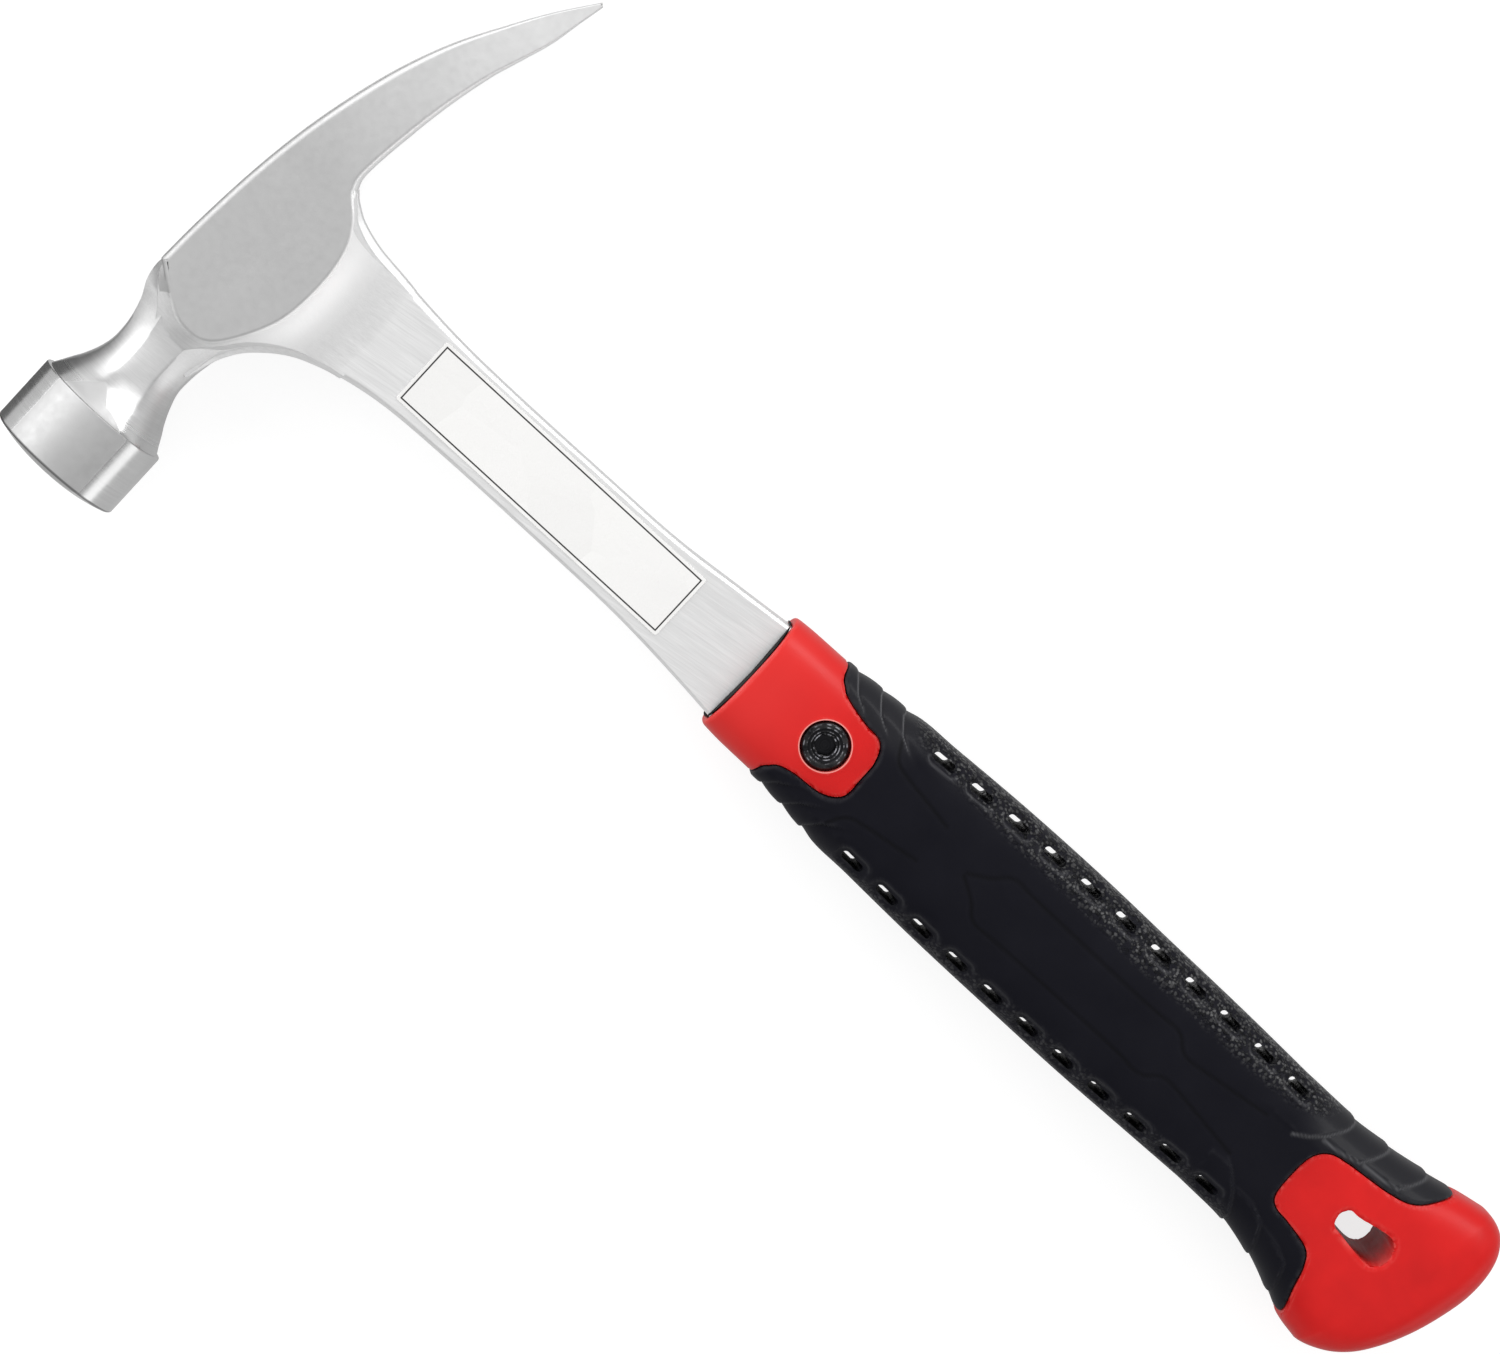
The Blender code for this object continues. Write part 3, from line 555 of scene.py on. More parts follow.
# Pale rings painted on the crests of the turning, broken by noise: painted highlights.
painted_sheen = spread(noise(round_screw, 0.28, 2.0), 0.5, 0.62)
crest_highlights = 0.0
for crest in CRESTS:
    crest_highlights = sums("MAXIMUM", crest_highlights, spread(apart(from_screw, crest), 0.15, 0.04))
colour = blend_colour(times(crest_highlights, painted_sheen), colour, grey(0.45, 0.04))
# Pale sharp edges: painted highlights.
colour = blend_colour(times(wear_and_highlight, 0.45), colour, grey(0.22))
shade(
    {"Metallic": 1.0}, Base_Color=colour, Roughness=blend_value(patches, 0.28, 0.42),
    Normal=bumped(rings, 0.02),
)
print("finishes:", seal_rubber.name, black_oxide.name)

# %% Label finish
LABEL_X = (53.6, 124.7)
LABEL_Y = (-7.2, 8.2)
FRAME_MARGIN = 0.68
FRAME_LINE = 0.32
label_film = new_material("label_film")
mm = hammer_mm()
place = put("SeparateXYZ", {0: mm})
inset = None
for axis, (start, end) in (("X", LABEL_X), ("Y", LABEL_Y)):
    side = minus((end - start) / 2, apart(place[axis], (start + end) / 2))
    inset = side if inset is None else sums("MINIMUM", inset, side)
from_line = apart(inset, FRAME_MARGIN + FRAME_LINE / 2)
frame_line = spread(from_line, FRAME_LINE / 2 + 0.05, FRAME_LINE / 2 - 0.05)
folds = put("TexVoronoi", {"Vector": mm, "Scale": 0.075}, feature="F1")
crease = put("TexVoronoi", {"Vector": mm, "Scale": 0.075}, feature="DISTANCE_TO_EDGE")["Distance"]
panel = put("SeparateColor", {0: folds["Color"]})[0]
paper_tone = blend_colour(panel, (0.83, 0.825, 0.815, 1), (0.87, 0.865, 0.855, 1))
colour = blend_colour(frame_line, paper_tone, grey(0.015))
pressed = effect(cloud_group, mm, Size=5.0)
height = plus(times(spread(crease, 0.0, 0.08), 0.03), times(pressed, 0.05))
shade(
    {"Specular IOR Level": 0.35}, Base_Color=colour,
    Roughness=blend_value(pressed, 0.22, 0.32), Normal=bumped(height, 1.0, 0.6),
)
print("finishes:", [m.name for m in bpy.data.materials if m.node_tree])

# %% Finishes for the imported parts
LOOK = {
    "forged_head": forged_steel, "handle_core": red_plastic, "grip_sleeve": sleeve_rubber,
    "collar_seal": seal_rubber, "clamp_screw": black_oxide, "barrel_nut": black_oxide,
    "label": label_film,
}
for name, material in LOOK.items():
    nodes[name].data.materials.clear()
    nodes[name].data.materials.append(material)
print("finished:", sorted(LOOK))

# %% [markdown]
# ## Helpers for shaping
# Each finer piece starts from a grid or a flat outline, is cut and rounded by modifiers that are
# applied at once, and ends as one mesh at the origin. Lines are drawn through a few measured
# points, in the same way as in the CAD source, only with far more steps.

# %% Smooth lines
def run_through(rows, steps, closed=False):
    """A smooth run through rows of numbers, with this many steps from each row to the next."""
    rows = np.array(rows, float)
    count = len(rows)
    out = []
    for i in range(count if closed else count - 1):
        if closed:
            a, b, c, d = (rows[(i + k) % count] for k in (-1, 0, 1, 2))
        else:
            b, c = rows[i], rows[i + 1]
            a = rows[i - 1] if i else 2 * b - c
            d = rows[i + 2] if i + 2 < count else 2 * c - b
        for t in np.arange(steps) / steps:
            out.append(
                (2 * t**3 - 3 * t**2 + 1) * b + (t**3 - 2 * t**2 + t) * (c - a) / 2
                + (3 * t**2 - 2 * t**3) * c + (t**3 - t**2) * (d - b) / 2
            )
    if not closed:
        out.append(rows[-1])
    return np.array(out)


def evenly(line, spacing, closed=False):
    """The same line with its points this far apart. Only the first two columns measure the way."""
    line = np.array(line, float)
    if closed:
        line = np.vstack([line, line[:1]])
    way = np.append(0, np.cumsum(np.linalg.norm(np.diff(line[:, :2], axis=0), axis=1)))
    count = max(2, round(way[-1] / spacing))
    stops = np.linspace(0, way[-1], count + 1)
    out = np.stack([np.interp(stops, way, column) for column in line.T], axis=1)
    return out[:-1] if closed else out


# %% Outlines
def rounded(knots, spacing):
    """An outline from knots, where a third value marks a sharp corner, as points this far apart."""
    corners = [i for i, knot in enumerate(knots) if len(knot) > 2]
    if not corners:
        return evenly(run_through(knots, 12, closed=True), spacing, closed=True)
    turned_round = knots[corners[0]:] + knots[:corners[0] + 1]
    pieces, start = [], 0
    for i in range(1, len(turned_round)):
        if len(turned_round[i]) > 2:
            part = [knot[:2] for knot in turned_round[start:i + 1]]
            smooth = run_through(part, 12) if len(part) > 2 else part
            pieces.append(evenly(smooth, spacing)[:-1])
            start = i
    return np.vstack(pieces)


def offset(points, distance):
    """Moves the sides of a closed outline by this distance, outward where it is positive."""
    side = np.roll(points, -1, axis=0) - points
    side /= np.linalg.norm(side, axis=1)[:, None]
    ahead = np.stack([side[:, 1], -side[:, 0]], axis=1)
    behind = np.roll(ahead, 1, axis=0)
    mitre = (ahead + behind) / (1 + np.sum(ahead * behind, axis=1))[:, None]
    x, y = points.T
    area = np.sum(x * np.roll(y, -1) - y * np.roll(x, -1))
    return points + math.copysign(1.0, area) * mitre * np.reshape(distance, (-1, 1))


def distance_to(line, x, y, closed=True):
    """How far each point of the plan lies from a line of points, in millimetres."""
    ends = np.roll(line, -1, axis=0) if closed else line[1:]
    starts = line if closed else line[:-1]
    best = np.full(np.shape(x), 1e9)
    for (ax, ay), (bx, by) in zip(starts[:, :2], ends[:, :2]):
        dx, dy = bx - ax, by - ay
        t = np.clip(((x - ax) * dx + (y - ay) * dy) / (dx * dx + dy * dy + 1e-12), 0, 1)
        best = np.minimum(best, np.hypot(x - ax - t * dx, y - ay - t * dy))
    return best


def smoothstep(low, high, value):
    t = np.clip((value - low) / (high - low), 0, 1)
    return t * t * (3 - 2 * t)


# %% Select, edit and read a mesh
def only(obj):
    """Selects this object and no other."""
    bpy.ops.object.select_all(action="DESELECT")
    obj.select_set(True)
    bpy.context.view_layer.objects.active = obj


@contextmanager
def editing(obj):
    """Edit mode with the whole mesh selected, and object mode again afterwards."""
    only(obj)
    bpy.ops.object.mode_set(mode="EDIT")
    bpy.ops.mesh.select_all(action="SELECT")
    yield
    bpy.ops.object.mode_set(mode="OBJECT")


def named(name):
    """The object that was just made, under this name."""
    bpy.context.object.name = name
    return bpy.context.object


def tidy_mesh(obj, fill=False):
    """Merges doubles, closes open ends where asked, and turns all faces outward."""
    with editing(obj):
        bpy.ops.mesh.remove_doubles(threshold=1e-7)
        if fill:
            bpy.ops.mesh.fill_holes(sides=0)
        bpy.ops.mesh.select_all(action="SELECT")
        bpy.ops.mesh.normals_make_consistent(inside=False)
    return obj


def raw_points(obj):
    """The mesh's own coordinates, one row for each point."""
    co = np.empty(len(obj.data.vertices) * 3, np.float32)
    obj.data.vertices.foreach_get("co", co)
    return co.reshape(-1, 3)


def points_of(obj):
    """The mesh's points in hammer millimetres."""
    return (raw_points(obj).astype(float) - np.array(ORIGIN)) / MM


def set_points(obj, points):
    metres = (np.asarray(points, float) * MM + np.array(ORIGIN)).astype(np.float32)
    obj.data.vertices.foreach_set("co", metres.ravel())
    obj.data.update()


# %% Primitives laid on measured points
def level(plan, height):
    """A flat outline's points at one height, or each at its own."""
    return np.column_stack([plan, np.broadcast_to(height, len(plan))])


def sheet_on(name, sections):
    """A grid whose rows are laid on the sections. Its long edges meet and its ends are closed."""
    sections = np.array(sections, float)
    rows, count = sections.shape[:2]
    bpy.ops.object.select_all(action="DESELECT")
    bpy.ops.mesh.primitive_grid_add(x_subdivisions=count, y_subdivisions=rows - 1, size=2)
    obj = named(name)
    share = (raw_points(obj)[:, :2] + 1) / 2
    i = np.rint(share[:, 0] * count).astype(int) % count
    j = np.rint(share[:, 1] * (rows - 1)).astype(int)
    set_points(obj, sections[j, i])
    return tidy_mesh(obj, fill=True)


def prism(name, outline, low, high):
    """A flat outline, filled and extruded between two heights."""
    outline = np.array(outline, float)[:, :2]
    count = len(outline)
    bpy.ops.object.select_all(action="DESELECT")
    bpy.ops.mesh.primitive_circle_add(vertices=count, radius=1, fill_type="NGON")
    obj = named(name)
    across, up, _ = raw_points(obj).T
    turn = np.arctan2(up, across) % (2 * math.pi)
    order = np.rint((turn - turn[0]) / (2 * math.pi / count)).astype(int) % count
    set_points(obj, level(outline[order], low))
    with editing(obj):
        lift = (0, 0, (high - low) * MM)
        bpy.ops.mesh.extrude_region_move(TRANSFORM_OT_translate={"value": lift})
    return tidy_mesh(obj)


def lathe(name, profile, centre, axis="Z", steps=128):
    """A profile of radius and height, spun in edit mode about an axis through the centre."""
    bpy.ops.object.select_all(action="DESELECT")
    bpy.ops.mesh.primitive_grid_add(x_subdivisions=1, y_subdivisions=1, size=1)
    obj = named(name)
    with editing(obj):
        bpy.ops.mesh.delete(type="VERT")
    obj.data.vertices.add(len(profile))
    obj.data.edges.add(len(profile) - 1)
    for i, edge in enumerate(obj.data.edges):
        edge.vertices = (i, i + 1)
    r, h = np.array(profile, float).T
    zero = np.zeros(len(r))
    line = np.column_stack([r, zero, h] if axis == "Z" else [r, h, zero])
    set_points(obj, line + np.array(centre, float))
    with editing(obj):
        bpy.ops.mesh.spin(
            steps=steps, angle=2 * math.pi, center=at(*centre),
            axis=(0, 0, 1) if axis == "Z" else (0, 1, 0),
        )
    return tidy_mesh(obj)


# %% Modifiers and finish
def apply_now(obj, kind, **settings):
    """Adds a modifier, sets it and applies it."""
    only(obj)
    modifier = obj.modifiers.new(kind.lower(), kind)
    for name, value in settings.items():
        setattr(modifier, name, value)
    bpy.ops.object.modifier_apply(modifier=modifier.name)
    return obj


def combine(obj, other, operation):
    """A Boolean with another piece, which is then removed."""
    apply_now(obj, "BOOLEAN", operation=operation, solver="EXACT", object=other)
    bpy.data.objects.remove(other)


def cut(obj, other):
    combine(obj, other, "DIFFERENCE")


def bevel_edges(obj, width, segments=1):
    return apply_now(
        obj, "BEVEL", width=width * MM, segments=segments, limit_method="ANGLE",
        angle_limit=math.radians(50),
    )


def bar(name, x0, x1, half_width, half, chamfer, segments=2):
    """A bevelled bar along the handle's middle."""
    outline = [(x0, -half_width), (x1, -half_width), (x1, half_width), (x0, half_width)]
    return bevel_edges(prism(name, outline, -half, half), chamfer, segments)


def smooth(obj, degrees):
    """Smooth shading that keeps edges sharper than this angle, and says what the piece has become."""
    only(obj)
    bpy.ops.object.shade_smooth_by_angle(angle=math.radians(degrees))
    sides = np.ptp(points_of(obj), axis=0).round(1)
    print(obj.name, len(obj.data.polygons), "faces, mm:", sides)


def finish(obj, replaced, slot):
    """Gives the piece its finish, rides it on the hammer's one body and stands it in for a CAD node."""
    obj.data.materials.clear()
    obj.data.materials.append(LOOK[replaced])
    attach(obj, "root")
    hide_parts(replaced)
    print(obj.name, "stands in for", replaced)


# %% [markdown]
# ## The steel: shank, cheek, claw, neck and bell
# The real head is one forging, ground and linished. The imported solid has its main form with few
# faces, which a bright finish would show as flats. So the same forms are made again with many
# more, one at a time, and joined at the end by Boolean unions, which keep the crisp lines between
# them. Outlines give X and Y, and a third value of 1 marks a sharp corner.

# %% Outlines of the steel
SHANK = [
    (20.2, -33.0, 1), (21.1, -30.0), (22.9, -25.2), (26.7, -19.8), (32.4, -15.5), (39.5, -12.7),
    (52.3, -10.3), (70.0, -9.6), (94.1, -9.5), (114.5, -9.7), (130.9, -10.8), (149.0, -12.7, 1),
    (149.0, 13.2, 1), (130.9, 11.5), (114.5, 10.1), (94.1, 9.8), (70.0, 9.7), (54.9, 10.1),
    (40.6, 11.4), (31.5, 12.6), (25.5, 14.4), (20.9, 17.4, 1), (10.0, 16.0, 1), (9.0, -30.0, 1),
]
CHEEK_AND_CLAW = [
    (0.3, -17.8, 1), (0.8, -7.3), (2.0, 6.4), (3.9, 19.3), (6.6, 31.3), (9.9, 42.4), (14.3, 53.0),
    (19.7, 62.7), (24.7, 70.9), (30.7, 79.3, 1), (31.8, 78.4, 1), (30.5, 72.6), (29.1, 66.0),
    (26.6, 58.6), (24.5, 52.3), (22.1, 42.0), (20.1, 29.3), (19.4, 21.4), (20.2, 18.2, 1),
    (24.6, 13.6), (27.3, 7.8), (28.2, -0.7), (27.0, -11.0), (22.4, -20.4), (17.9, -24.9),
    (12.1, -25.3), (7.1, -22.8),
]
SCOOP_EDGE = [
    (2.4, -17.4), (7.3, -22.3), (12.1, -24.8), (17.6, -24.4), (21.9, -20.0), (26.6, -11.0),
    (27.8, -0.7), (26.9, 7.6), (24.3, 13.3), (20.4, 17.6), (12.0, 14.0), (6.0, 4.0), (3.6, -8.0),
]
SCOOP_TRIM = [
    (1.5, -16.5, 0.0), (2.9, 2.0, 0.0), (4.8, 17.6, 0.0), (12.0, 18.2, 0.0), (19.4, 18.3, 0.0),
    (21.9, 16.6, 0.5), (25.5, 14.4, 1.4), (31.5, 12.6, 1.75), (40.6, 11.4, 1.4), (50.0, 9.6, 1.0),
    (54.0, 6.0, 0.8), (55.0, 0.0, 0.8), (54.0, -6.0, 0.8), (48.0, -10.6, 1.0), (39.5, -12.7, 1.4),
    (32.4, -15.5, 1.75), (26.7, -19.8, 1.8), (22.6, -24.4, 1.6), (18.6, -28.0, 1.4),
    (16.8, -31.0, 1.3), (16.0, -35.0, 0.9), (12.4, -36.5, 0.8), (8.8, -35.0, 0.9),
    (7.9, -31.0, 1.3), (5.6, -27.0, 1.3), (2.4, -22.0, 0.8),
]
NECK = [
    # along Y, upper X, lower X, half height, shape: 0 round, 1 octagonal, 2 square
    (-49.9, -2.0, 26.5, 14.25, 0.0), (-48.7, -1.6, 26.2, 13.9, 0.0), (-47.2, -0.7, 25.4, 13.05, 0.0),
    (-45.0, 0.6, 24.3, 11.85, 0.08), (-43.0, 1.8, 23.2, 10.75, 0.15),
    (-39.8, 3.2, 21.9, 9.4, 0.3), (-36.2, 4.0, 21.0, 8.65, 0.4), (-31.5, 3.8, 21.2, 8.8, 0.55),
    (-27.0, 2.7, 22.0, 9.8, 0.75), (-23.4, 1.2, 22.4, 11.0, 1.0), (-20.4, 0.6, 21.8, 12.0, 1.3),
    (-17.6, 0.8, 21.2, 12.6, 1.6), (-12.0, 2.4, 20.5, 12.6, 1.7),
]
SHANK_HALF, SHANK_DRAFT, SHANK_CHAMFER = 5.25, 0.22, 0.75
CHEEK_HALF, CHEEK_DRAFT, CHEEK_EDGE, CHEEK_TOP_EDGE = 13.0, 0.42, 1.0, 1.4
FILLET_RUN, FILLET_SINK = 16.0, 0.04
TANG = (290, 8, 4.5)
SCREW_STEM_RADIUS = 3.9
GAP = 0.3
print("outlines:", len(SHANK), "knots on the shank,", len(CHEEK_AND_CLAW), "on the cheek and claw")

# %% [markdown]
# The shank and the cheek with its claw are flats. Each outline is stacked up from the parting line,
# a little smaller each time for the draft, and then rolled over at the edge. The shank's chamfer is
# wider where the scoop has been ground, and the cheek's edge fades out toward the claw's tip.

# %% Shank and cheek
def forged_flat(name, outline, half, draft, edge):
    """A flat forging, widest at its parting line. The edge's rows are how far in and how far down."""
    sections = [level(outline, 0.0)]
    for inset, drop in edge:
        height = half - drop
        sections.append(level(offset(outline, -(inset + draft * height / half)), height))
    below = [section * (1, 1, -1) for section in sections[:0:-1]]
    return sheet_on(name, below + sections)


EDGE_SHAPE = [(0, 0.95), (0.72, 0.23), (0.9, 0.11), (1.1, 0.03), (1.35, 0.0)]
CHAMFER_ALONG_X = (20.4, 22.5, 30, 40, 55, 80, 145.5, 147.5)
CHAMFER_SHARE = (0.15, 1.3, 1.8, 1.4, 1.0, 0.75, 0.75, 0.15)
shank_line = rounded(SHANK, 0.8)
chamfer = SHANK_CHAMFER * np.interp(shank_line[:, 0], CHAMFER_ALONG_X, CHAMFER_SHARE)
steel = forged_flat(
    "steel_head", shank_line, SHANK_HALF, SHANK_DRAFT,
    [(inset * chamfer, drop * chamfer) for inset, drop in EDGE_SHAPE],
)

outline = rounded(CHEEK_AND_CLAW, 0.5)
x, y = outline.T
on_top = x < np.interp(y, (-17.8, 6.4, 42.4, 79.3), (0.3, 2.0, 9.9, 30.7)) + 1.2
radius = np.where(on_top, CHEEK_TOP_EDGE, CHEEK_EDGE) * (1 - 0.8 * smoothstep(35, 76, y))
for _ in range(8):
    radius = (np.roll(radius, 1) + radius + np.roll(radius, -1)) / 3
quarter = np.radians(range(90, -1, -10))
cheek = forged_flat(
    "cheek", outline, CHEEK_HALF, CHEEK_DRAFT,
    [(radius * (1 - math.sin(a)), radius * (1 - math.cos(a))) for a in quarter],
)
print("shank and cheek:", len(steel.data.polygons), "and", len(cheek.data.polygons), "faces")

# %% [markdown]
# A hollow runs from the cheek's edge down to the thin shank. It is a skirt of the cheek's outline,
# let out step by step while it sinks along an arc, and trimmed to the forging's own outline.

# %% The scoop from the cheek's edge to the shank
edge = rounded(SCOOP_EDGE, 0.5)
drop = CHEEK_HALF - CHEEK_EDGE / 2 - SHANK_HALF + FILLET_SINK
radius = (FILLET_RUN**2 + drop**2) / (2 * drop)
heights = [(-CHEEK_EDGE, CHEEK_HALF - CHEEK_EDGE / 2)]
for run in np.linspace(0, FILLET_RUN, 33):
    lift = radius - math.sqrt(radius**2 - (FILLET_RUN - run) ** 2)
    heights.append((run, SHANK_HALF - FILLET_SINK + lift))
heights += [(run, -height) for run, height in reversed(heights)]
scoop = sheet_on("scoop", [level(offset(edge, run), height) for run, height in heights])
trim_line = run_through(SCOOP_TRIM, 6, closed=True)
full = CHEEK_HALF + GAP
width = SHANK_CHAMFER * trim_line[:, 2]
trim_rows = [(2.2 * width, full), (width, SHANK_HALF), (0 * width, SHANK_HALF - 0.95 * width)]
trim_rows += [(inset, -height) for inset, height in reversed(trim_rows)]
trim = sheet_on("scoop_trim", [
    level(offset(trim_line[:, :2], -inset), height) for inset, height in trim_rows
])
combine(scoop, trim, "INTERSECT")
print("scoop:", len(scoop.data.polygons), "faces, fillet radius", round(radius, 1), "mm")

# %% [markdown]
# The neck is lofted through sections that go from round at the bell to octagonal at the waist and
# nearly square under the cheek. The bell is a profile spun about its axis, with a crowned face.

# %% The neck
angles = np.arange(128) * 2 * np.pi / 128
eighth = np.pi / 4
octagon = 1 / np.cos((angles + eighth / 2) % eighth - eighth / 2)
square = np.minimum(1 / np.maximum(abs(np.cos(angles)), abs(np.sin(angles))), 1.34)
rings = []
for y, upper, lower, half, shape in run_through(NECK, 8):
    reach = 1 + min(shape, 1) * (octagon - 1) + max(shape - 1, 0) * (square - octagon)
    x = (upper + lower) / 2 + (lower - upper) / 2 * reach * np.cos(angles)
    rings.append(np.column_stack([x, np.full(len(angles), y), half * reach * np.sin(angles)]))
neck = sheet_on("neck", rings)
print("neck:", len(rings), "sections of", len(angles), "points")

# %% The bell, spun from its profile
BELL_RADIUS, BELL_REAR_Y, FACE_Y, CROWN = 14.9, -48.9, -65.6, 1.75
RIM = BELL_RADIUS - 0.45
edge_y = FACE_Y + CROWN
profile = [
    (0, BELL_REAR_Y), (BELL_RADIUS - 0.35, BELL_REAR_Y), (BELL_RADIUS - 0.1, BELL_REAR_Y - 0.1),
    (BELL_RADIUS, BELL_REAR_Y - 0.35), (BELL_RADIUS, edge_y + 0.55),
    (BELL_RADIUS - 0.08, edge_y + 0.3), (RIM + 0.12, edge_y + 0.08),
]
profile += [(r, FACE_Y + CROWN * ((r - 4) / (RIM - 4)) ** 2) for r in np.linspace(RIM, 4, 16)]
bell = lathe("bell", profile + [(0, FACE_Y)], BELL_MIDDLE, axis="Y")
print("bell:", len(profile) + 1, "points spun")

# %% [markdown]
# The tang runs on inside the handle, with a hole for the screw. The nail slot flares from the claw's
# outer side to its inner one, so that it grips a nail's shaft. Then all are joined and cut.

# %% Tang, nail slot and screw hole
tang = bar("tang", 140, *TANG, 0.5, segments=1)
slot_rings = []
for x, flare in ((-4.0, 0.0), (44.0, 1.8)):
    apex, tip, start, past = 0.9 + flare / 2, 5.4 + flare, 36.0 - 2 * flare, 83.3
    slot_rings.append([
        (x, start, 0), (x, start + 0.3 * apex, 0.7 * apex), (x, start + apex, apex), (x, past, tip),
        (x, past, -tip), (x, start + apex, -apex), (x, start + 0.3 * apex, -0.7 * apex),
    ])
nail_slot = sheet_on("nail_slot", slot_rings)
stem = [(0, -14), (SCREW_STEM_RADIUS, -14), (SCREW_STEM_RADIUS, 14), (0, 14)]
tang_hole = lathe("tang_hole", stem, (SCREW_X, 0, 0), steps=48)

for member in (scoop, cheek, neck, bell, tang):
    combine(steel, member, "UNION")
cut(steel, nail_slot)
cut(steel, tang_hole)
smooth(steel, 28)
apply_now(steel, "WEIGHTED_NORMAL", keep_sharp=True, weight=80)

# %% [markdown]
# ## The handle: red moulding and black sleeve
# Both are lofted skins. A section of the grip is a rounded square, and each section stands between
# one point of the lower outline and one of the upper, so that it leans where the butt flares.

# %% Outlines of the handle
TONGUE = [
    (157.9, 24.0, 1), (157.9, 14.0), (159.9, 11.1), (162.4, 9.8), (167.7, 8.6), (172.2, 8.0),
    (174.2, 4.6), (174.5, 0.0), (174.3, -5.0), (170.6, -7.6), (164.1, -8.3), (160.7, -9.2),
    (159.1, -10.7), (157.9, -13.4), (157.9, -24.0, 1), (138.0, -24.0, 1), (138.0, 24.0, 1),
]
BUTT_PANEL = [
    (333.0, 27.0, 1), (324.7, 17.2), (319.9, 12.3), (314.0, 10.4), (303.3, 9.2), (299.0, 8.1),
    (296.6, 5.1), (296.1, 0.0), (296.6, -5.4), (298.7, -7.3), (302.4, -7.8), (308.8, -9.3),
    (311.5, -12.4), (313.6, -17.6), (316.6, -23.6), (319.0, -32.0, 1), (352.0, -32.0, 1),
    (352.0, 27.0, 1),
]
HANG_HOLE = [
    (309.2, 0.4), (310.3, 2.6), (313.0, 2.8), (320.6, 4.1), (323.1, 1.4), (322.7, -1.9),
    (319.8, -3.4), (312.6, -2.5), (310.0, -1.9),
]
SLEEVE = [
    # lower X and Y, upper X and Y, half thickness
    (156.6, -14.5, 156.6, 14.8, 11.1), (161.2, -14.7, 161.2, 15.0, 11.5),
    (167.6, -15.2, 167.6, 15.5, 11.9), (173.6, -15.9, 173.6, 15.8, 12.3),
    (178.5, -16.6, 178.5, 16.5, 12.6), (184.5, -16.9, 184.5, 16.9, 12.6),
    (205.3, -17.6, 205.3, 17.8, 12.7), (226.2, -17.8, 226.2, 18.1, 12.8),
    (247.2, -17.8, 247.2, 17.8, 12.7), (268.3, -17.3, 268.3, 17.5, 12.6),
    (285.3, -16.9, 288.0, 16.9, 12.5), (294.2, -17.0, 300.6, 16.4, 12.3),
    (303.2, -18.7, 310.0, 16.9, 12.3), (310.9, -21.2, 319.7, 18.1, 12.4),
    (318.8, -25.0, 330.0, 20.4, 12.6),
]
COLLAR = [
    (144.9, -13.5, 144.9, 14.0, 10.2), (145.0, -13.75, 145.0, 14.3, 10.5),
    (145.25, -14.0, 145.25, 14.55, 10.8), (145.7, -14.15, 145.7, 14.7, 10.95),
    (147.0, -14.3, 147.0, 14.85, 11.05), (150.0, -14.5, 150.0, 15.0, 11.1),
    (157.0, -14.6, 157.0, 15.1, 11.3), (177.0, -14.9, 177.0, 15.4, 11.6),
]
BUTT = [
    (289.0, -15.9, 293.0, 15.9, 11.6), (296.0, -16.9, 301.0, 16.3, 11.7),
    (303.6, -18.4, 309.9, 16.8, 11.8), (311.1, -21.4, 319.5, 17.7, 12.0),
    (317.2, -24.3, 328.0, 19.9, 12.2), (322.6, -25.4, 334.3, 21.1, 12.3),
]
BUTT_END = [
    (317.2, -24.3), (322.6, -25.4), (328.0, -23.7), (332.2, -20.7), (335.5, -16.5), (338.6, -10.9),
    (341.1, -4.4), (342.9, 1.4), (343.7, 6.6), (343.6, 10.2), (342.8, 14.4), (341.3, 17.6),
    (338.7, 20.1), (334.3, 21.1), (328.0, 19.9),
]
SPINE_START, SPINE, SPINE_CHAMFER = 152, (322, 11.0, 8.8), 2.5
TONGUE_LINE = rounded(TONGUE, 0.5)
BUTT_LINE = rounded(BUTT_PANEL, 0.5)
HOLE_LINE = rounded(HANG_HOLE, 0.4)
print("lines:", len(TONGUE_LINE), len(BUTT_LINE), len(HOLE_LINE), "points")

# %% Skins of the handle
def stations_along(stations, stretches):
    """Stations run through smoothly, and set apart by each stretch's own spacing along X."""
    smooth_run = run_through(stations, 24)
    middle_x = (smooth_run[:, 0] + smooth_run[:, 2]) / 2
    stops, start = [], middle_x[0]
    for end, spacing in stretches:
        end = min(end, middle_x[-1])
        stops += list(np.linspace(start, end, round((end - start) / spacing), endpoint=False))
        start = end
    stops.append(middle_x[-1])
    return np.stack([np.interp(stops, middle_x, column) for column in smooth_run.T], axis=1)


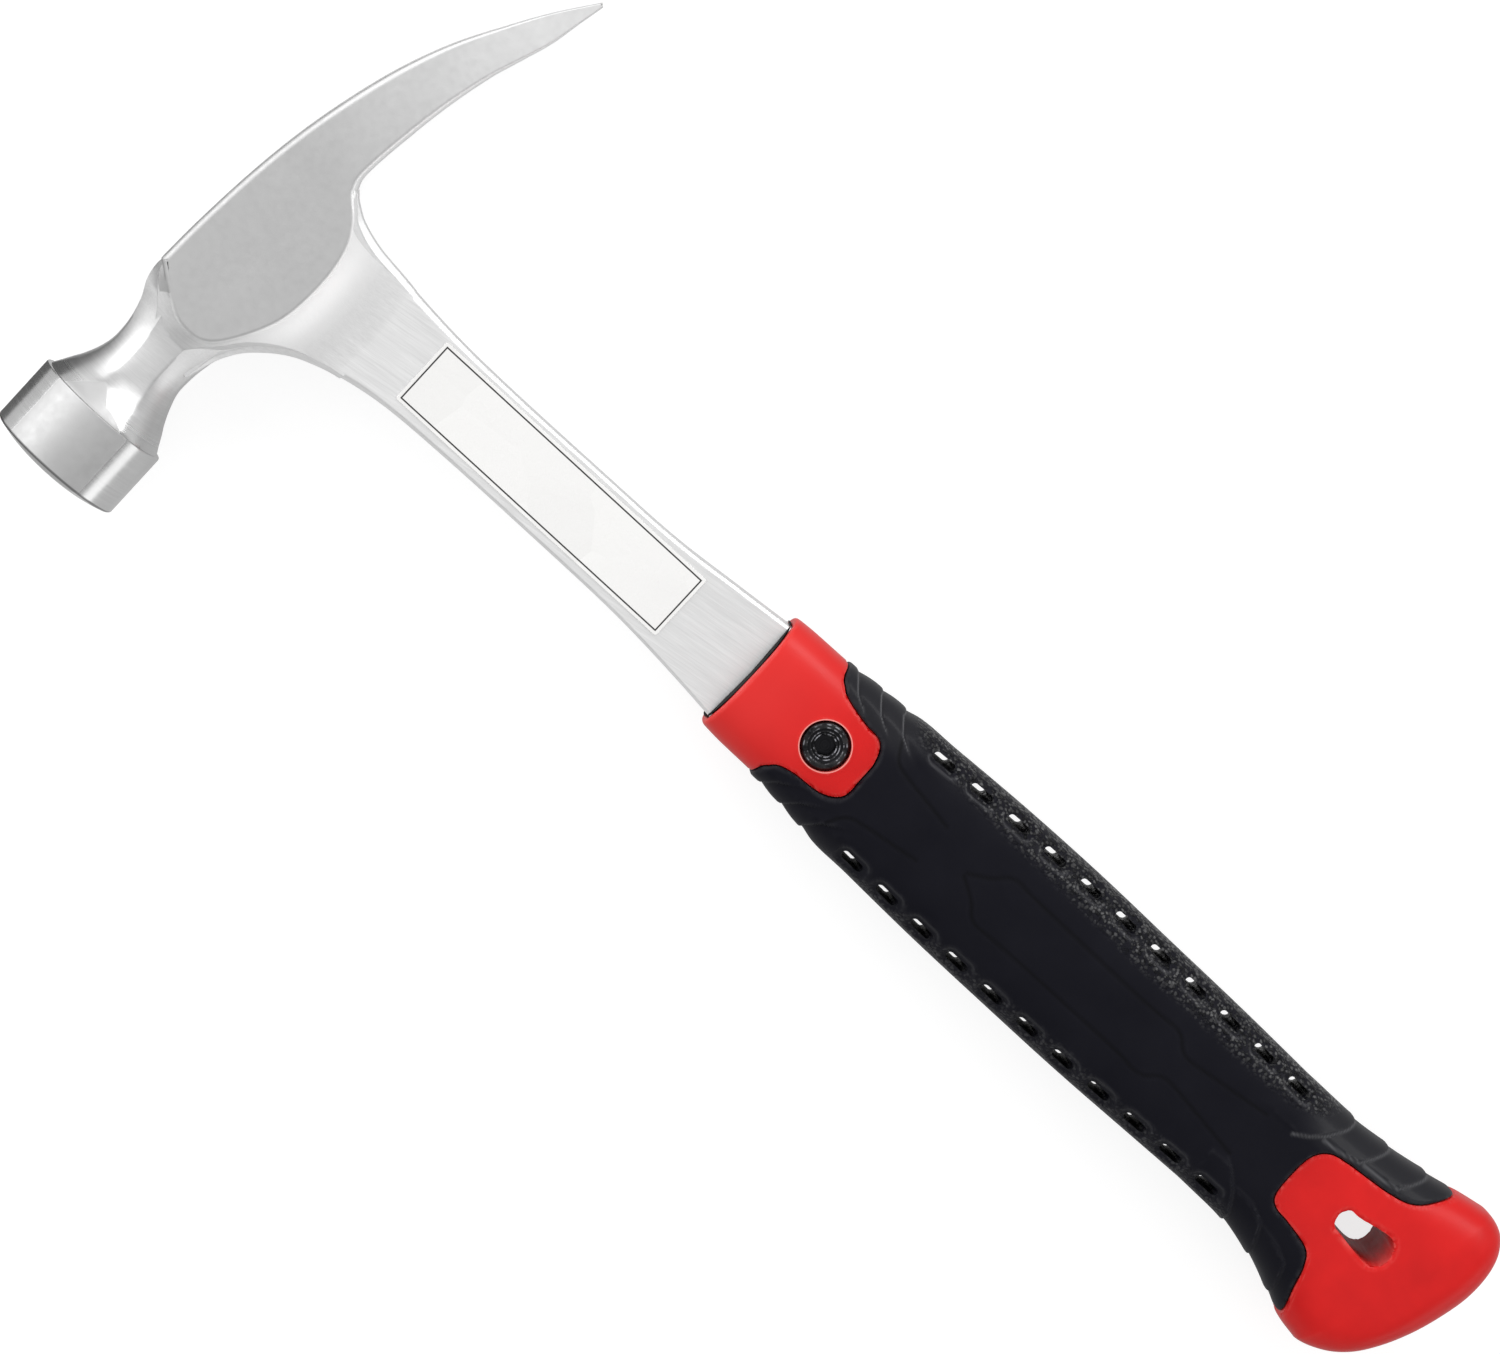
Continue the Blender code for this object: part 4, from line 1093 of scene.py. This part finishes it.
def skin(rows, count, power):
    """Rings of rounded squares, one on each station. The power says how square they are."""
    turn = np.linspace(0, 2 * np.pi, 4001)[:-1]
    rings = np.empty((len(rows), count, 3))
    for ring, row, squareness in zip(rings, rows, np.broadcast_to(power, len(rows))):
        unit = np.column_stack([
            np.sign(np.cos(turn)) * np.abs(np.cos(turn)) ** (2 / squareness),
            np.sign(np.sin(turn)) * np.abs(np.sin(turn)) ** (2 / squareness),
        ])
        sides = np.diff(np.vstack([unit, unit[:1]]) * (17, 12.5), axis=0)
        way = np.append(0, np.cumsum(np.linalg.norm(sides, axis=1)))
        even = np.interp(np.linspace(0, way[-1], count + 1)[:-1], way, np.arange(4001))
        unit = unit[np.rint(even).astype(int) % 4000]
        low, high = row[0:2], row[2:4]
        ring[:, :2] = (low + high) / 2 + unit[:, :1] * (high - low) / 2
        ring[:, 2] = row[4] * unit[:, 1]
    return rings


def raised(rings, height):
    """The skin with each point moved out along the skin's own normal by this many millimetres."""
    along = np.gradient(rings, axis=0)
    around = (np.roll(rings, -1, axis=1) - np.roll(rings, 1, axis=1)) / 2
    out = np.cross(around, along)
    out /= np.linalg.norm(out, axis=2, keepdims=True) + 1e-12
    away = rings - rings.mean(axis=1, keepdims=True)
    out *= np.sign(np.sum(out * away, axis=(1, 2), keepdims=True))
    return rings + out * height[..., None]


def roll_off(distance, radius):
    """How far a rounded edge has dropped at this distance from it."""
    left = np.clip(radius - distance, 0, radius)
    return radius - np.sqrt(np.maximum(radius**2 - left**2, 0))


# %% [markdown]
# Relief is pressed into the skin in plan. First comes a dimple round each of the slots, which stand
# in two rows a fixed distance inside the grip's sides.

# %% Slots of the grip
SLOTS, SLOT_PITCH, SLOT_START_X = 11, 10.0, 185.2
SLOT_LENGTH, SLOT_WIDTH, SLOT_FROM_SIDE = 6.2, 2.0, 3.1
DIMPLE_DEPTH, LIP_HEIGHT = 0.55, 0.14
sleeve_stations = np.array(SLEEVE)
slot_places = []
for side, (cx, cy) in ((-1, (0, 1)), (1, (2, 3))):
    for i in range(SLOTS):
        x = SLOT_START_X + i * SLOT_PITCH
        y0, y1, y2 = np.interp([x - 1, x, x + 1], sleeve_stations[:, cx], sleeve_stations[:, cy])
        slot_places.append((x, y1 - side * SLOT_FROM_SIDE, math.atan2(y2 - y0, 2)))
print("slots:", len(slot_places))


def slot_relief(x, y):
    """A shallow dimple round each slot, with a low lip beyond it whose inner side carries a painted
    highlight.
    """
    height, wear_and_highlight = np.zeros_like(x), np.zeros_like(x)
    for sx, sy, lean in slot_places:
        along = (x - sx) * math.cos(lean) + (y - sy) * math.sin(lean)
        across = (y - sy) * math.cos(lean) - (x - sx) * math.sin(lean)
        flat = SLOT_LENGTH / 2 - SLOT_WIDTH / 2
        gap = np.hypot(np.maximum(np.abs(along) - flat, 0), across) - SLOT_WIDTH / 2
        height -= DIMPLE_DEPTH * np.exp(-np.maximum(gap, 0) ** 2 / 0.55)
        height += LIP_HEIGHT * np.exp(-((gap - 1.15) ** 2) / 0.08)
        # A painted highlight on each slot rim's inner side, stronger on the upper row where the light
        # falls.
        inner = smoothstep(0.1, 0.9, across * (1 if sy < 0 else -1))
        strength = 0.42 if sy > 0 else 0.14
        wear_and_highlight = np.maximum(wear_and_highlight, strength * np.exp(-((gap - 0.85) ** 2) / 0.04) * inner)
    return height, wear_and_highlight


# %% [markdown]
# At each end the grip has overlapping scales. Those by the collar are sawteeth that fade toward the
# middle. Those by the butt each lie behind a bent edge, and the lower side's are set further up.
# Each crest also says how strong a highlight is painted on it, stronger on the upper side, for the
# finish to read.

# %% Scales
SCALE_HEIGHT, BUTT_SCALE_HEIGHT = 0.55, 0.5
SCALE_LEAN = [(0.0, 16.5), (-0.5, 15.0), (0.4, 13.7), (1.6, 12.2), (3.6, 11.0), (6.5, 9.4)]
COLLAR_STEPS = (161.0, 167.3, 173.4)
BUTT_SCALES = [
    [(300.8, 17.5), (300.0, 16.2), (299.0, 14.4), (295.8, 10.4), (293.0, 8.0), (290.0, 6.2)],
    [(310.2, 17.6), (308.8, 16.0), (305.0, 11.1), (300.6, 9.9), (296.0, 9.5)],
    [(320.2, 19.0), (318.2, 16.6), (314.7, 12.3), (310.6, 11.5), (306.0, 11.2)],
]
LOW_SIDE_SHIFT = 6.5


def ridge_line(behind):
    """1 on a crest just behind a scale's edge, where a highlight is painted, and 0 elsewhere."""
    return np.exp(-((behind - 0.12) ** 2) / 0.035)


def collar_scales(x, y):
    """Sawtooth scales that bulge and drop, fading toward the middle. Height, and where highlights are
    painted on them.
    """
    line = np.array(SCALE_LEAN)[::-1]
    shift = np.interp(np.abs(y), line[:, 1], line[:, 0])
    height, wear_and_highlight = np.zeros_like(x), np.zeros_like(x)
    starts = (154.6,) + COLLAR_STEPS[:-1]
    for start, step in zip(starts, COLLAR_STEPS):
        t = (x - shift - start) / (step - start)
        bulge = np.sin(np.clip(t, 0, 1) * 2.1) * (1 - smoothstep(0.97, 1.03, t))
        height += SCALE_HEIGHT * bulge * (t > 0)
        # A painted highlight on each crest, strong on the upper side where the light falls, faint
        # below.
        wear_and_highlight = np.maximum(wear_and_highlight, ridge_line(step - x + shift) * np.where(y > 0, 0.8, 0.1))
    t = x - shift - COLLAR_STEPS[-1]
    height += 0.3 * smoothstep(0, 3.5, t) * (1 - smoothstep(3.5, 14, t))
    fade = smoothstep(8.8, 12.2, np.abs(y))
    return height * fade, wear_and_highlight * smoothstep(9.8, 11.6, np.abs(y))


def butt_scales(x, y):
    """Three scales on each side of the butt, each behind its own bent edge."""
    height, wear_and_highlight = np.zeros_like(x), np.zeros_like(x)
    low_side = np.interp(x, sleeve_stations[:, 0], -sleeve_stations[:, 1])
    across = np.where(y > 0, y, -y * 17.0 / low_side)
    plan_x = np.where(y > 0, x, x + LOW_SIDE_SHIFT)
    for k, line in enumerate(BUTT_SCALES):
        line = np.array(line)
        order = np.argsort(line[:, 1])
        inner = line[order[0], 1]
        behind = np.interp(across, line[order, 1], line[order, 0]) - plan_x
        length = 13.0 if k == 0 else 9.0
        lift = np.clip(1 - behind / length, 0, 1) * smoothstep(-0.2, 0.2, behind)
        shown = smoothstep(inner, inner + 1.2, across)
        height += BUTT_SCALE_HEIGHT * lift * shown
        on_line = np.exp(-(distance_to(line, plan_x, across, closed=False) ** 2) / 0.09)
        # A painted highlight along each bent edge, strong on the upper side, faint below.
        wear_and_highlight = np.maximum(wear_and_highlight, on_line * np.where(y > 0, 0.65, 0.04))
    return height, wear_and_highlight


# %% [markdown]
# Faint grooves part the smooth middle into panels, mirrored across the handle. The leather grain
# begins outside a line along each row of slots, and is deeper on the upper side.

# %% Panel lines and grain
PANEL_LINES = [
    [(175.5, 11.3), (177.7, 7.8), (181.2, 6.6), (189.8, 5.3), (194.0, 4.6)],
    [(203.5, 0.4), (208.0, 3.1), (211.6, 6.1), (219.1, 5.9), (247.8, 5.6), (257.6, 6.0),
     (261.0, 3.8), (263.8, 3.0), (271.3, 3.9), (283.3, 5.5)],
]
GRAIN_EDGE = [
    (171.0, 17.0), (174.2, 15.9), (175.8, 14.9), (176.8, 13.4), (179.6, 12.3), (182.3, 12.0),
    (190.0, 11.3), (198.9, 10.6), (209.3, 10.1), (220.5, 10.0), (232.2, 9.5), (243.9, 9.0),
    (255.0, 9.3), (266.5, 9.1), (277.9, 9.1), (285.8, 9.8), (292.7, 11.5), (297.5, 17.5),
]


def panel_lines(x, y):
    """1 in the faint grooves that part the middle of the grip into panels, 0 beside them."""
    groove_shade = np.zeros_like(x)
    for line in PANEL_LINES:
        line = run_through(line, 4)
        for side in (1, -1):
            gap = distance_to(line * (1, side), x, y, closed=False)
            groove_shade = np.maximum(groove_shade, np.exp(-(gap**2) / 0.13))
    return groove_shade


def grain_amount(x, y):
    """1 where the leather grain is moulded: outside the edge line, on both sides of the grip."""
    inner = np.interp(x, *np.array(GRAIN_EDGE).T, left=30.0, right=30.0)
    outside = np.abs(y) - inner
    return np.where(y > 0, smoothstep(-0.1, 3.2, outside), 0.35 * smoothstep(2.5, 5.0, outside))


# %% [markdown]
# All the relief is laid on one skin, whose edge rolls down where black meets red. Then the red
# parts' outlines, the spine's room and the slots are cut from it. What the finish has to know is
# written on the mesh as attributes.

# %% The sleeve's skin
SLEEVE_STRETCHES = [(179.0, 0.3), (283.0, 0.52), (400.0, 0.33)]
SLEEVE_SQUARENESS = 3.0
GROOVE_DEPTH = 0.13
COLLAR_SCALES_END, COLLAR_HIGHLIGHT_END, BUTT_SCALES_START = 192, 180, 280
SLEEVE_ROLL, RED_ROLL, HOLE_ROLL = 0.7, 0.4, 0.8


def sleeve_relief(x, y):
    """Height of the relief at each point of the plan, and how strong the painted highlight is there."""
    collar_height, collar_highlight = collar_scales(x, y)
    butt_height, butt_highlight = butt_scales(x, y)
    slot_height, slot_highlight = slot_relief(x, y)
    height = collar_height * (x < COLLAR_SCALES_END) + butt_height * (x > BUTT_SCALES_START)
    wear_and_highlight = collar_highlight * (x < COLLAR_HIGHLIGHT_END) + butt_highlight * (x > BUTT_SCALES_START) + slot_highlight
    return height + slot_height - GROOVE_DEPTH * panel_lines(x, y), wear_and_highlight


sleeve_rings = skin(stations_along(SLEEVE, SLEEVE_STRETCHES), 216, SLEEVE_SQUARENESS)
px, py = sleeve_rings[..., 0], sleeve_rings[..., 1]
relief, _ = sleeve_relief(px, py)
near_red = np.minimum(distance_to(TONGUE_LINE, px, py), distance_to(BUTT_LINE, px, py))
relief -= roll_off(near_red - GAP, SLEEVE_ROLL)
grip = sheet_on("grip_skin", raised(sleeve_rings, relief))
print("sleeve skin:", sleeve_rings.shape)


# %% Cut the sleeve
def slot_cutter():
    """All the slots in one mesh. Each is a long hole with round ends, narrower half way through."""
    cutters = []
    for k, (x, y, lean) in enumerate(slot_places):
        along, across = (math.cos(lean), math.sin(lean)), (-math.sin(lean), math.cos(lean))
        rings = []
        for height, draft in ((-20, 0.0), (-11, 0.0), (-3, 0.7), (3, 0.7), (11, 0.0), (20, 0.0)):
            radius = SLOT_WIDTH / 2 - draft * 0.5
            turn = np.linspace(0, 2 * np.pi, 32, endpoint=False) + np.pi / 32
            flat = np.sign(np.cos(turn)) * (SLOT_LENGTH / 2 - SLOT_WIDTH / 2 - draft)
            a, b = flat + radius * np.cos(turn), radius * np.sin(turn)
            rings.append(np.column_stack([
                x + a * along[0] + b * across[0], y + a * along[1] + b * across[1],
                np.full(len(turn), height),
            ]))
        cutters.append(sheet_on(f"slot_{k}", rings))
    bpy.ops.object.select_all(action="DESELECT")
    for cutter in cutters:
        cutter.select_set(True)
    bpy.context.view_layer.objects.active = cutters[0]
    bpy.ops.object.join()
    return bpy.context.object


REACH = 30


def through(name, outline):
    """A prism that reaches right through the handle, to cut with or to keep what lies in it."""
    return prism(name, outline, -REACH, REACH)


cut(grip, through("tongue_room", offset(TONGUE_LINE, GAP)))
cut(grip, through("butt_room", offset(BUTT_LINE, GAP)))
spine_room = bar("spine_room", SPINE_START - GAP, *(side + GAP for side in SPINE), SPINE_CHAMFER)
cut(grip, spine_room)
cut(grip, slot_cutter())
smooth(grip, 35)


def write_attribute(obj, name, values):
    """A number for each point of the mesh, which the finish reads by this name."""
    attribute = obj.data.attributes.new(name, "FLOAT", "POINT")
    attribute.data.foreach_set("value", np.asarray(values, np.float32))


x, y, z = points_of(grip).T
outside = smoothstep(5.0, 6.5, np.abs(z)) + smoothstep(14.5, 15.5, np.abs(y))
write_attribute(grip, "grain", grain_amount(x, y))
write_attribute(grip, "groove_shade", panel_lines(x, y))
# Painted highlights on the crests and slot rims, written for the finish.
write_attribute(grip, "ridge_highlight", sleeve_relief(x, y)[1] * np.clip(outside, 0, 1))
# A painted sheen on the upper side of both ends, where the light falls.
at_ends = 1 - smoothstep(174, 182, x) + smoothstep(288, 296, x + np.where(y < 0, 6, 0))
write_attribute(grip, "upper_end_sheen", at_ends * smoothstep(6.5, 11, y))
print("attributes:", [a.name for a in grip.data.attributes])

# %% [markdown]
# The collar and the butt are one red moulding, joined by a spine under the sleeve. The collar's
# mouth is bowed in plan, and its top leans a little toward the head. The butt ends in rings that
# shrink along its own end line. The spaces inside are cut last.

# %% The red collar
MOUTH_X, MOUTH_MIDDLE_Y, MOUTH_FADE = 144.9, 0.2, 7.0
MOUTH_BACK, MOUTH_LEAN, MOUTH_BOW = 0.2, 0.25, 0.7
collar_rings = skin(stations_along(COLLAR, [(146.5, 0.12), (400.0, 0.4)]), 232, 2.8)
px, py = collar_rings[..., 0], collar_rings[..., 1]
from_mouth = smoothstep(MOUTH_X + MOUTH_FADE, MOUTH_X, px)
lean = MOUTH_LEAN * (collar_rings[..., 2] / 10.5) ** 2
bow = MOUTH_BOW * ((py - MOUTH_MIDDLE_Y) / 13.5) ** 2
collar_rings[..., 0] -= from_mouth * (MOUTH_BACK + lean + bow)
relief = -roll_off(distance_to(TONGUE_LINE, px, py), RED_ROLL)
round_screw = np.hypot(px - SCREW_X, py) - RECESS
relief += 0.14 * np.exp(-((round_screw - 0.25) ** 2) / 0.08)
red = sheet_on("red_moulding", raised(collar_rings, relief))
combine(red, through("tongue_region", TONGUE_LINE), "INTERSECT")
print("collar:", collar_rings.shape)

# %% The red butt
END_ROUNDING = 8.0
BUTT_HALF = 12.3
butt_rows = stations_along(BUTT, [(400.0, 0.4)])
end_line = evenly(run_through(BUTT_END, 12), 0.1)
chord = end_line[-1] - end_line[0]
chord /= np.linalg.norm(chord)
beyond = end_line @ np.array([chord[1], -chord[0]])
tip = int(np.argmax(beyond))
to_low, to_high = end_line[tip::-1], end_line[tip:]
start_low = np.argmin(np.linalg.norm(to_low - butt_rows[-1, :2], axis=1))
start_high = np.argmin(np.linalg.norm(to_high - butt_rows[-1, 2:4], axis=1))
end_rows = []
for share in np.linspace(1, 0.012, 64)[1:]:
    low, high = to_low[round(start_low * share)], to_high[round(start_high * share)]
    depth = beyond[tip] - (low + high) / 2 @ np.array([chord[1], -chord[0]])
    left = 1 - min(depth / END_ROUNDING, 1)
    end_rows.append((*low, *high, BUTT_HALF * (1 - left**2.3) ** (1 / 2.3)))
rows = np.vstack([butt_rows, end_rows])
squareness = np.append(np.full(len(butt_rows), 3.2), np.linspace(3.2, 2.1, len(end_rows)))
butt_rings = skin(rows, 232, squareness)
px, py = butt_rings[..., 0], butt_rings[..., 1]
relief = -roll_off(distance_to(BUTT_LINE, px, py), RED_ROLL)
relief -= roll_off(distance_to(HOLE_LINE, px, py), HOLE_ROLL)
butt = sheet_on("butt_skin", raised(butt_rings, relief * smoothstep(343, 338, px)))
combine(butt, through("butt_region", BUTT_LINE), "INTERSECT")
combine(red, butt, "UNION")
combine(red, bar("spine", SPINE_START, *SPINE, SPINE_CHAMFER), "UNION")
print("butt:", butt_rings.shape)

# %% Rooms in the red moulding
RECESS_FLOOR = 8.6
half_room = [(0, REACH), (RECESS, REACH), (RECESS, RECESS_FLOOR)]
half_room.append((SCREW_STEM_RADIUS, RECESS_FLOOR))
other_half = [(r, -h) for r, h in reversed(half_room)]
screw_room = lathe("screw_room", half_room + other_half, (SCREW_X, 0, 0), steps=96)
cut(red, screw_room)
tang_room = bar("tang_room", 143.9, *(side + GAP for side in TANG), 0.3)
cut(red, tang_room)


def shank_room(gap):
    """The shank's own form with a gap round it, to cut the parts that it passes through."""
    half = SHANK_HALF + gap
    return bevel_edges(prism("shank_room", offset(shank_line, gap), -half, half), SHANK_CHAMFER)


cut(red, shank_room(GAP))
cut(red, through("hang_hole", HOLE_LINE))
smooth(red, 35)

# %% [markdown]
# ## Seal, screw, nut and label
# The seal is a thin rubber ring that closes the gap where the steel enters the collar. The screw
# and the nut are turned: a profile is spun, with a dished face, a rolled rim and turning rings, and
# a six-sided socket is sunk in the middle. The nut faces the hidden side. The label is a film with
# rounded corners, thick enough to see, that lies on the flat of the shank.

# %% Seal
seal_low, seal_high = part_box("collar_seal")
SEAL_X = ((seal_low.x - ORIGIN.x) / MM + 0.2, (seal_high.x - ORIGIN.x) / MM - 0.15)
SEAL_Y, SEAL_HALF, SEAL_GAP = (-12.75, 13.2), 8.8, 0.12
seal_rows = []
for x, inset in ((0.0, 0.3), (0.08, 0.1), (0.25, 0.0), (0.8, 0.0), (1.0, 0.15)):
    x = SEAL_X[0] + x * (SEAL_X[1] - SEAL_X[0])
    seal_rows.append((x, SEAL_Y[0] + inset, x, SEAL_Y[1] - inset, SEAL_HALF - inset))
seal_rings = skin(np.array(seal_rows), 160, 3.2)
seal_rings[..., 0] -= MOUTH_BOW * ((seal_rings[..., 1] - MOUTH_MIDDLE_Y) / 13.0) ** 2
seal = sheet_on("mouth_seal", seal_rings)
cut(seal, shank_room(SEAL_GAP))
smooth(seal, 35)

# %% Screw and nut
HEAD_RADIUS, HEAD_TOP, HEAD_BASE = 5.05, 11.0, 8.9


def turned_face():
    """From the middle outward: a floor, a step up to the rolled rim, and the rim's round edge."""
    face = [(0, -0.55), (2.55, -0.55), (2.7, -0.5), (2.85, -0.28), (3.0, -0.22), (3.35, -0.22)]
    face += [(3.5, -0.17), (3.62, -0.03), (3.8, 0.0), (4.3, 0.0), (4.6, -0.06), (4.82, -0.2)]
    face += [(4.97, -0.42), (HEAD_RADIUS, -0.7), (HEAD_RADIUS, HEAD_BASE - HEAD_TOP)]
    return [(r, HEAD_TOP + h) for r, h in face]


def socket_cutter(side):
    """A hexagon with a shallow lead-in cone, sunk from the head's face."""
    turn = np.arange(6) * np.pi / 3 + np.pi / 6
    hexagon = np.column_stack([np.cos(turn), np.sin(turn)]) * 2.0 / math.cos(np.pi / 6)
    rings = []
    for height, scale in ((8.9, 1.0), (10.3, 1.0), (10.46, 1.08), (12.0, 1.08)):
        rings.append(level((SCREW_X, 0) + hexagon * scale, side * height))
    return sheet_on("socket_cutter", rings)


stem = [(2.4, HEAD_BASE), (2.4, -4.15), (2.1, -4.45), (0, -4.45)]
screw = lathe("screw_body", turned_face() + stem, (SCREW_X, 0, 0))
cut(screw, socket_cutter(1))
smooth(screw, 32)
nut_profile = turned_face() + [
    (3.6, HEAD_BASE), (3.6, -2.85), (3.45, -3.0), (2.85, -3.0), (2.7, -2.85), (2.7, 4.75), (0, 4.75),
]
nut = lathe("nut_body", [(r, -h) for r, h in nut_profile], (SCREW_X, 0, 0))
cut(nut, socket_cutter(-1))
smooth(nut, 32)

# %% Label
label_low, label_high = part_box("label")
film_low = (label_low.z - ORIGIN.z) / MM
film_high = (label_high.z - ORIGIN.z) / MM
CORNER = 0.5
label_outline = []
for far_x, far_y, start in ((1, 1, 0), (0, 1, 90), (0, 0, 180), (1, 0, 270)):
    cx = LABEL_X[far_x] + CORNER * (1 - 2 * far_x)
    cy = LABEL_Y[far_y] + CORNER * (1 - 2 * far_y)
    for angle in np.radians(np.linspace(start, start + 90, 7)):
        label_outline.append((cx + CORNER * math.cos(angle), cy + CORNER * math.sin(angle)))
film = bevel_edges(prism("label_sheet", label_outline, film_low, film_high), 0.05)
smooth(film, 40)

# %% [markdown]
# ## Hand over
# Each finer piece now takes its finish and its CAD node's place. The two boxes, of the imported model
# and of what is seen, are written down so that they can be compared.

# %% Stand the pieces in
for obj, replaced, slot in (
    (steel, "forged_head", "steel"), (red, "handle_core", "red_moulding"),
    (grip, "grip_sleeve", "black_grip"), (seal, "collar_seal", "seal_rubber"),
    (screw, "clamp_screw", "black_screw"), (nut, "barrel_nut", "black_nut"),
    (film, "label", "label_film"),
):
    finish(obj, replaced, slot)

# %% Sizes and finish
low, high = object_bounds()
{"cad": [list(cad_low), list(cad_high)], "visual": [list(low), list(high)]}
print("CAD box", cad_low[:], cad_high[:])
print("visual box", low[:], high[:])
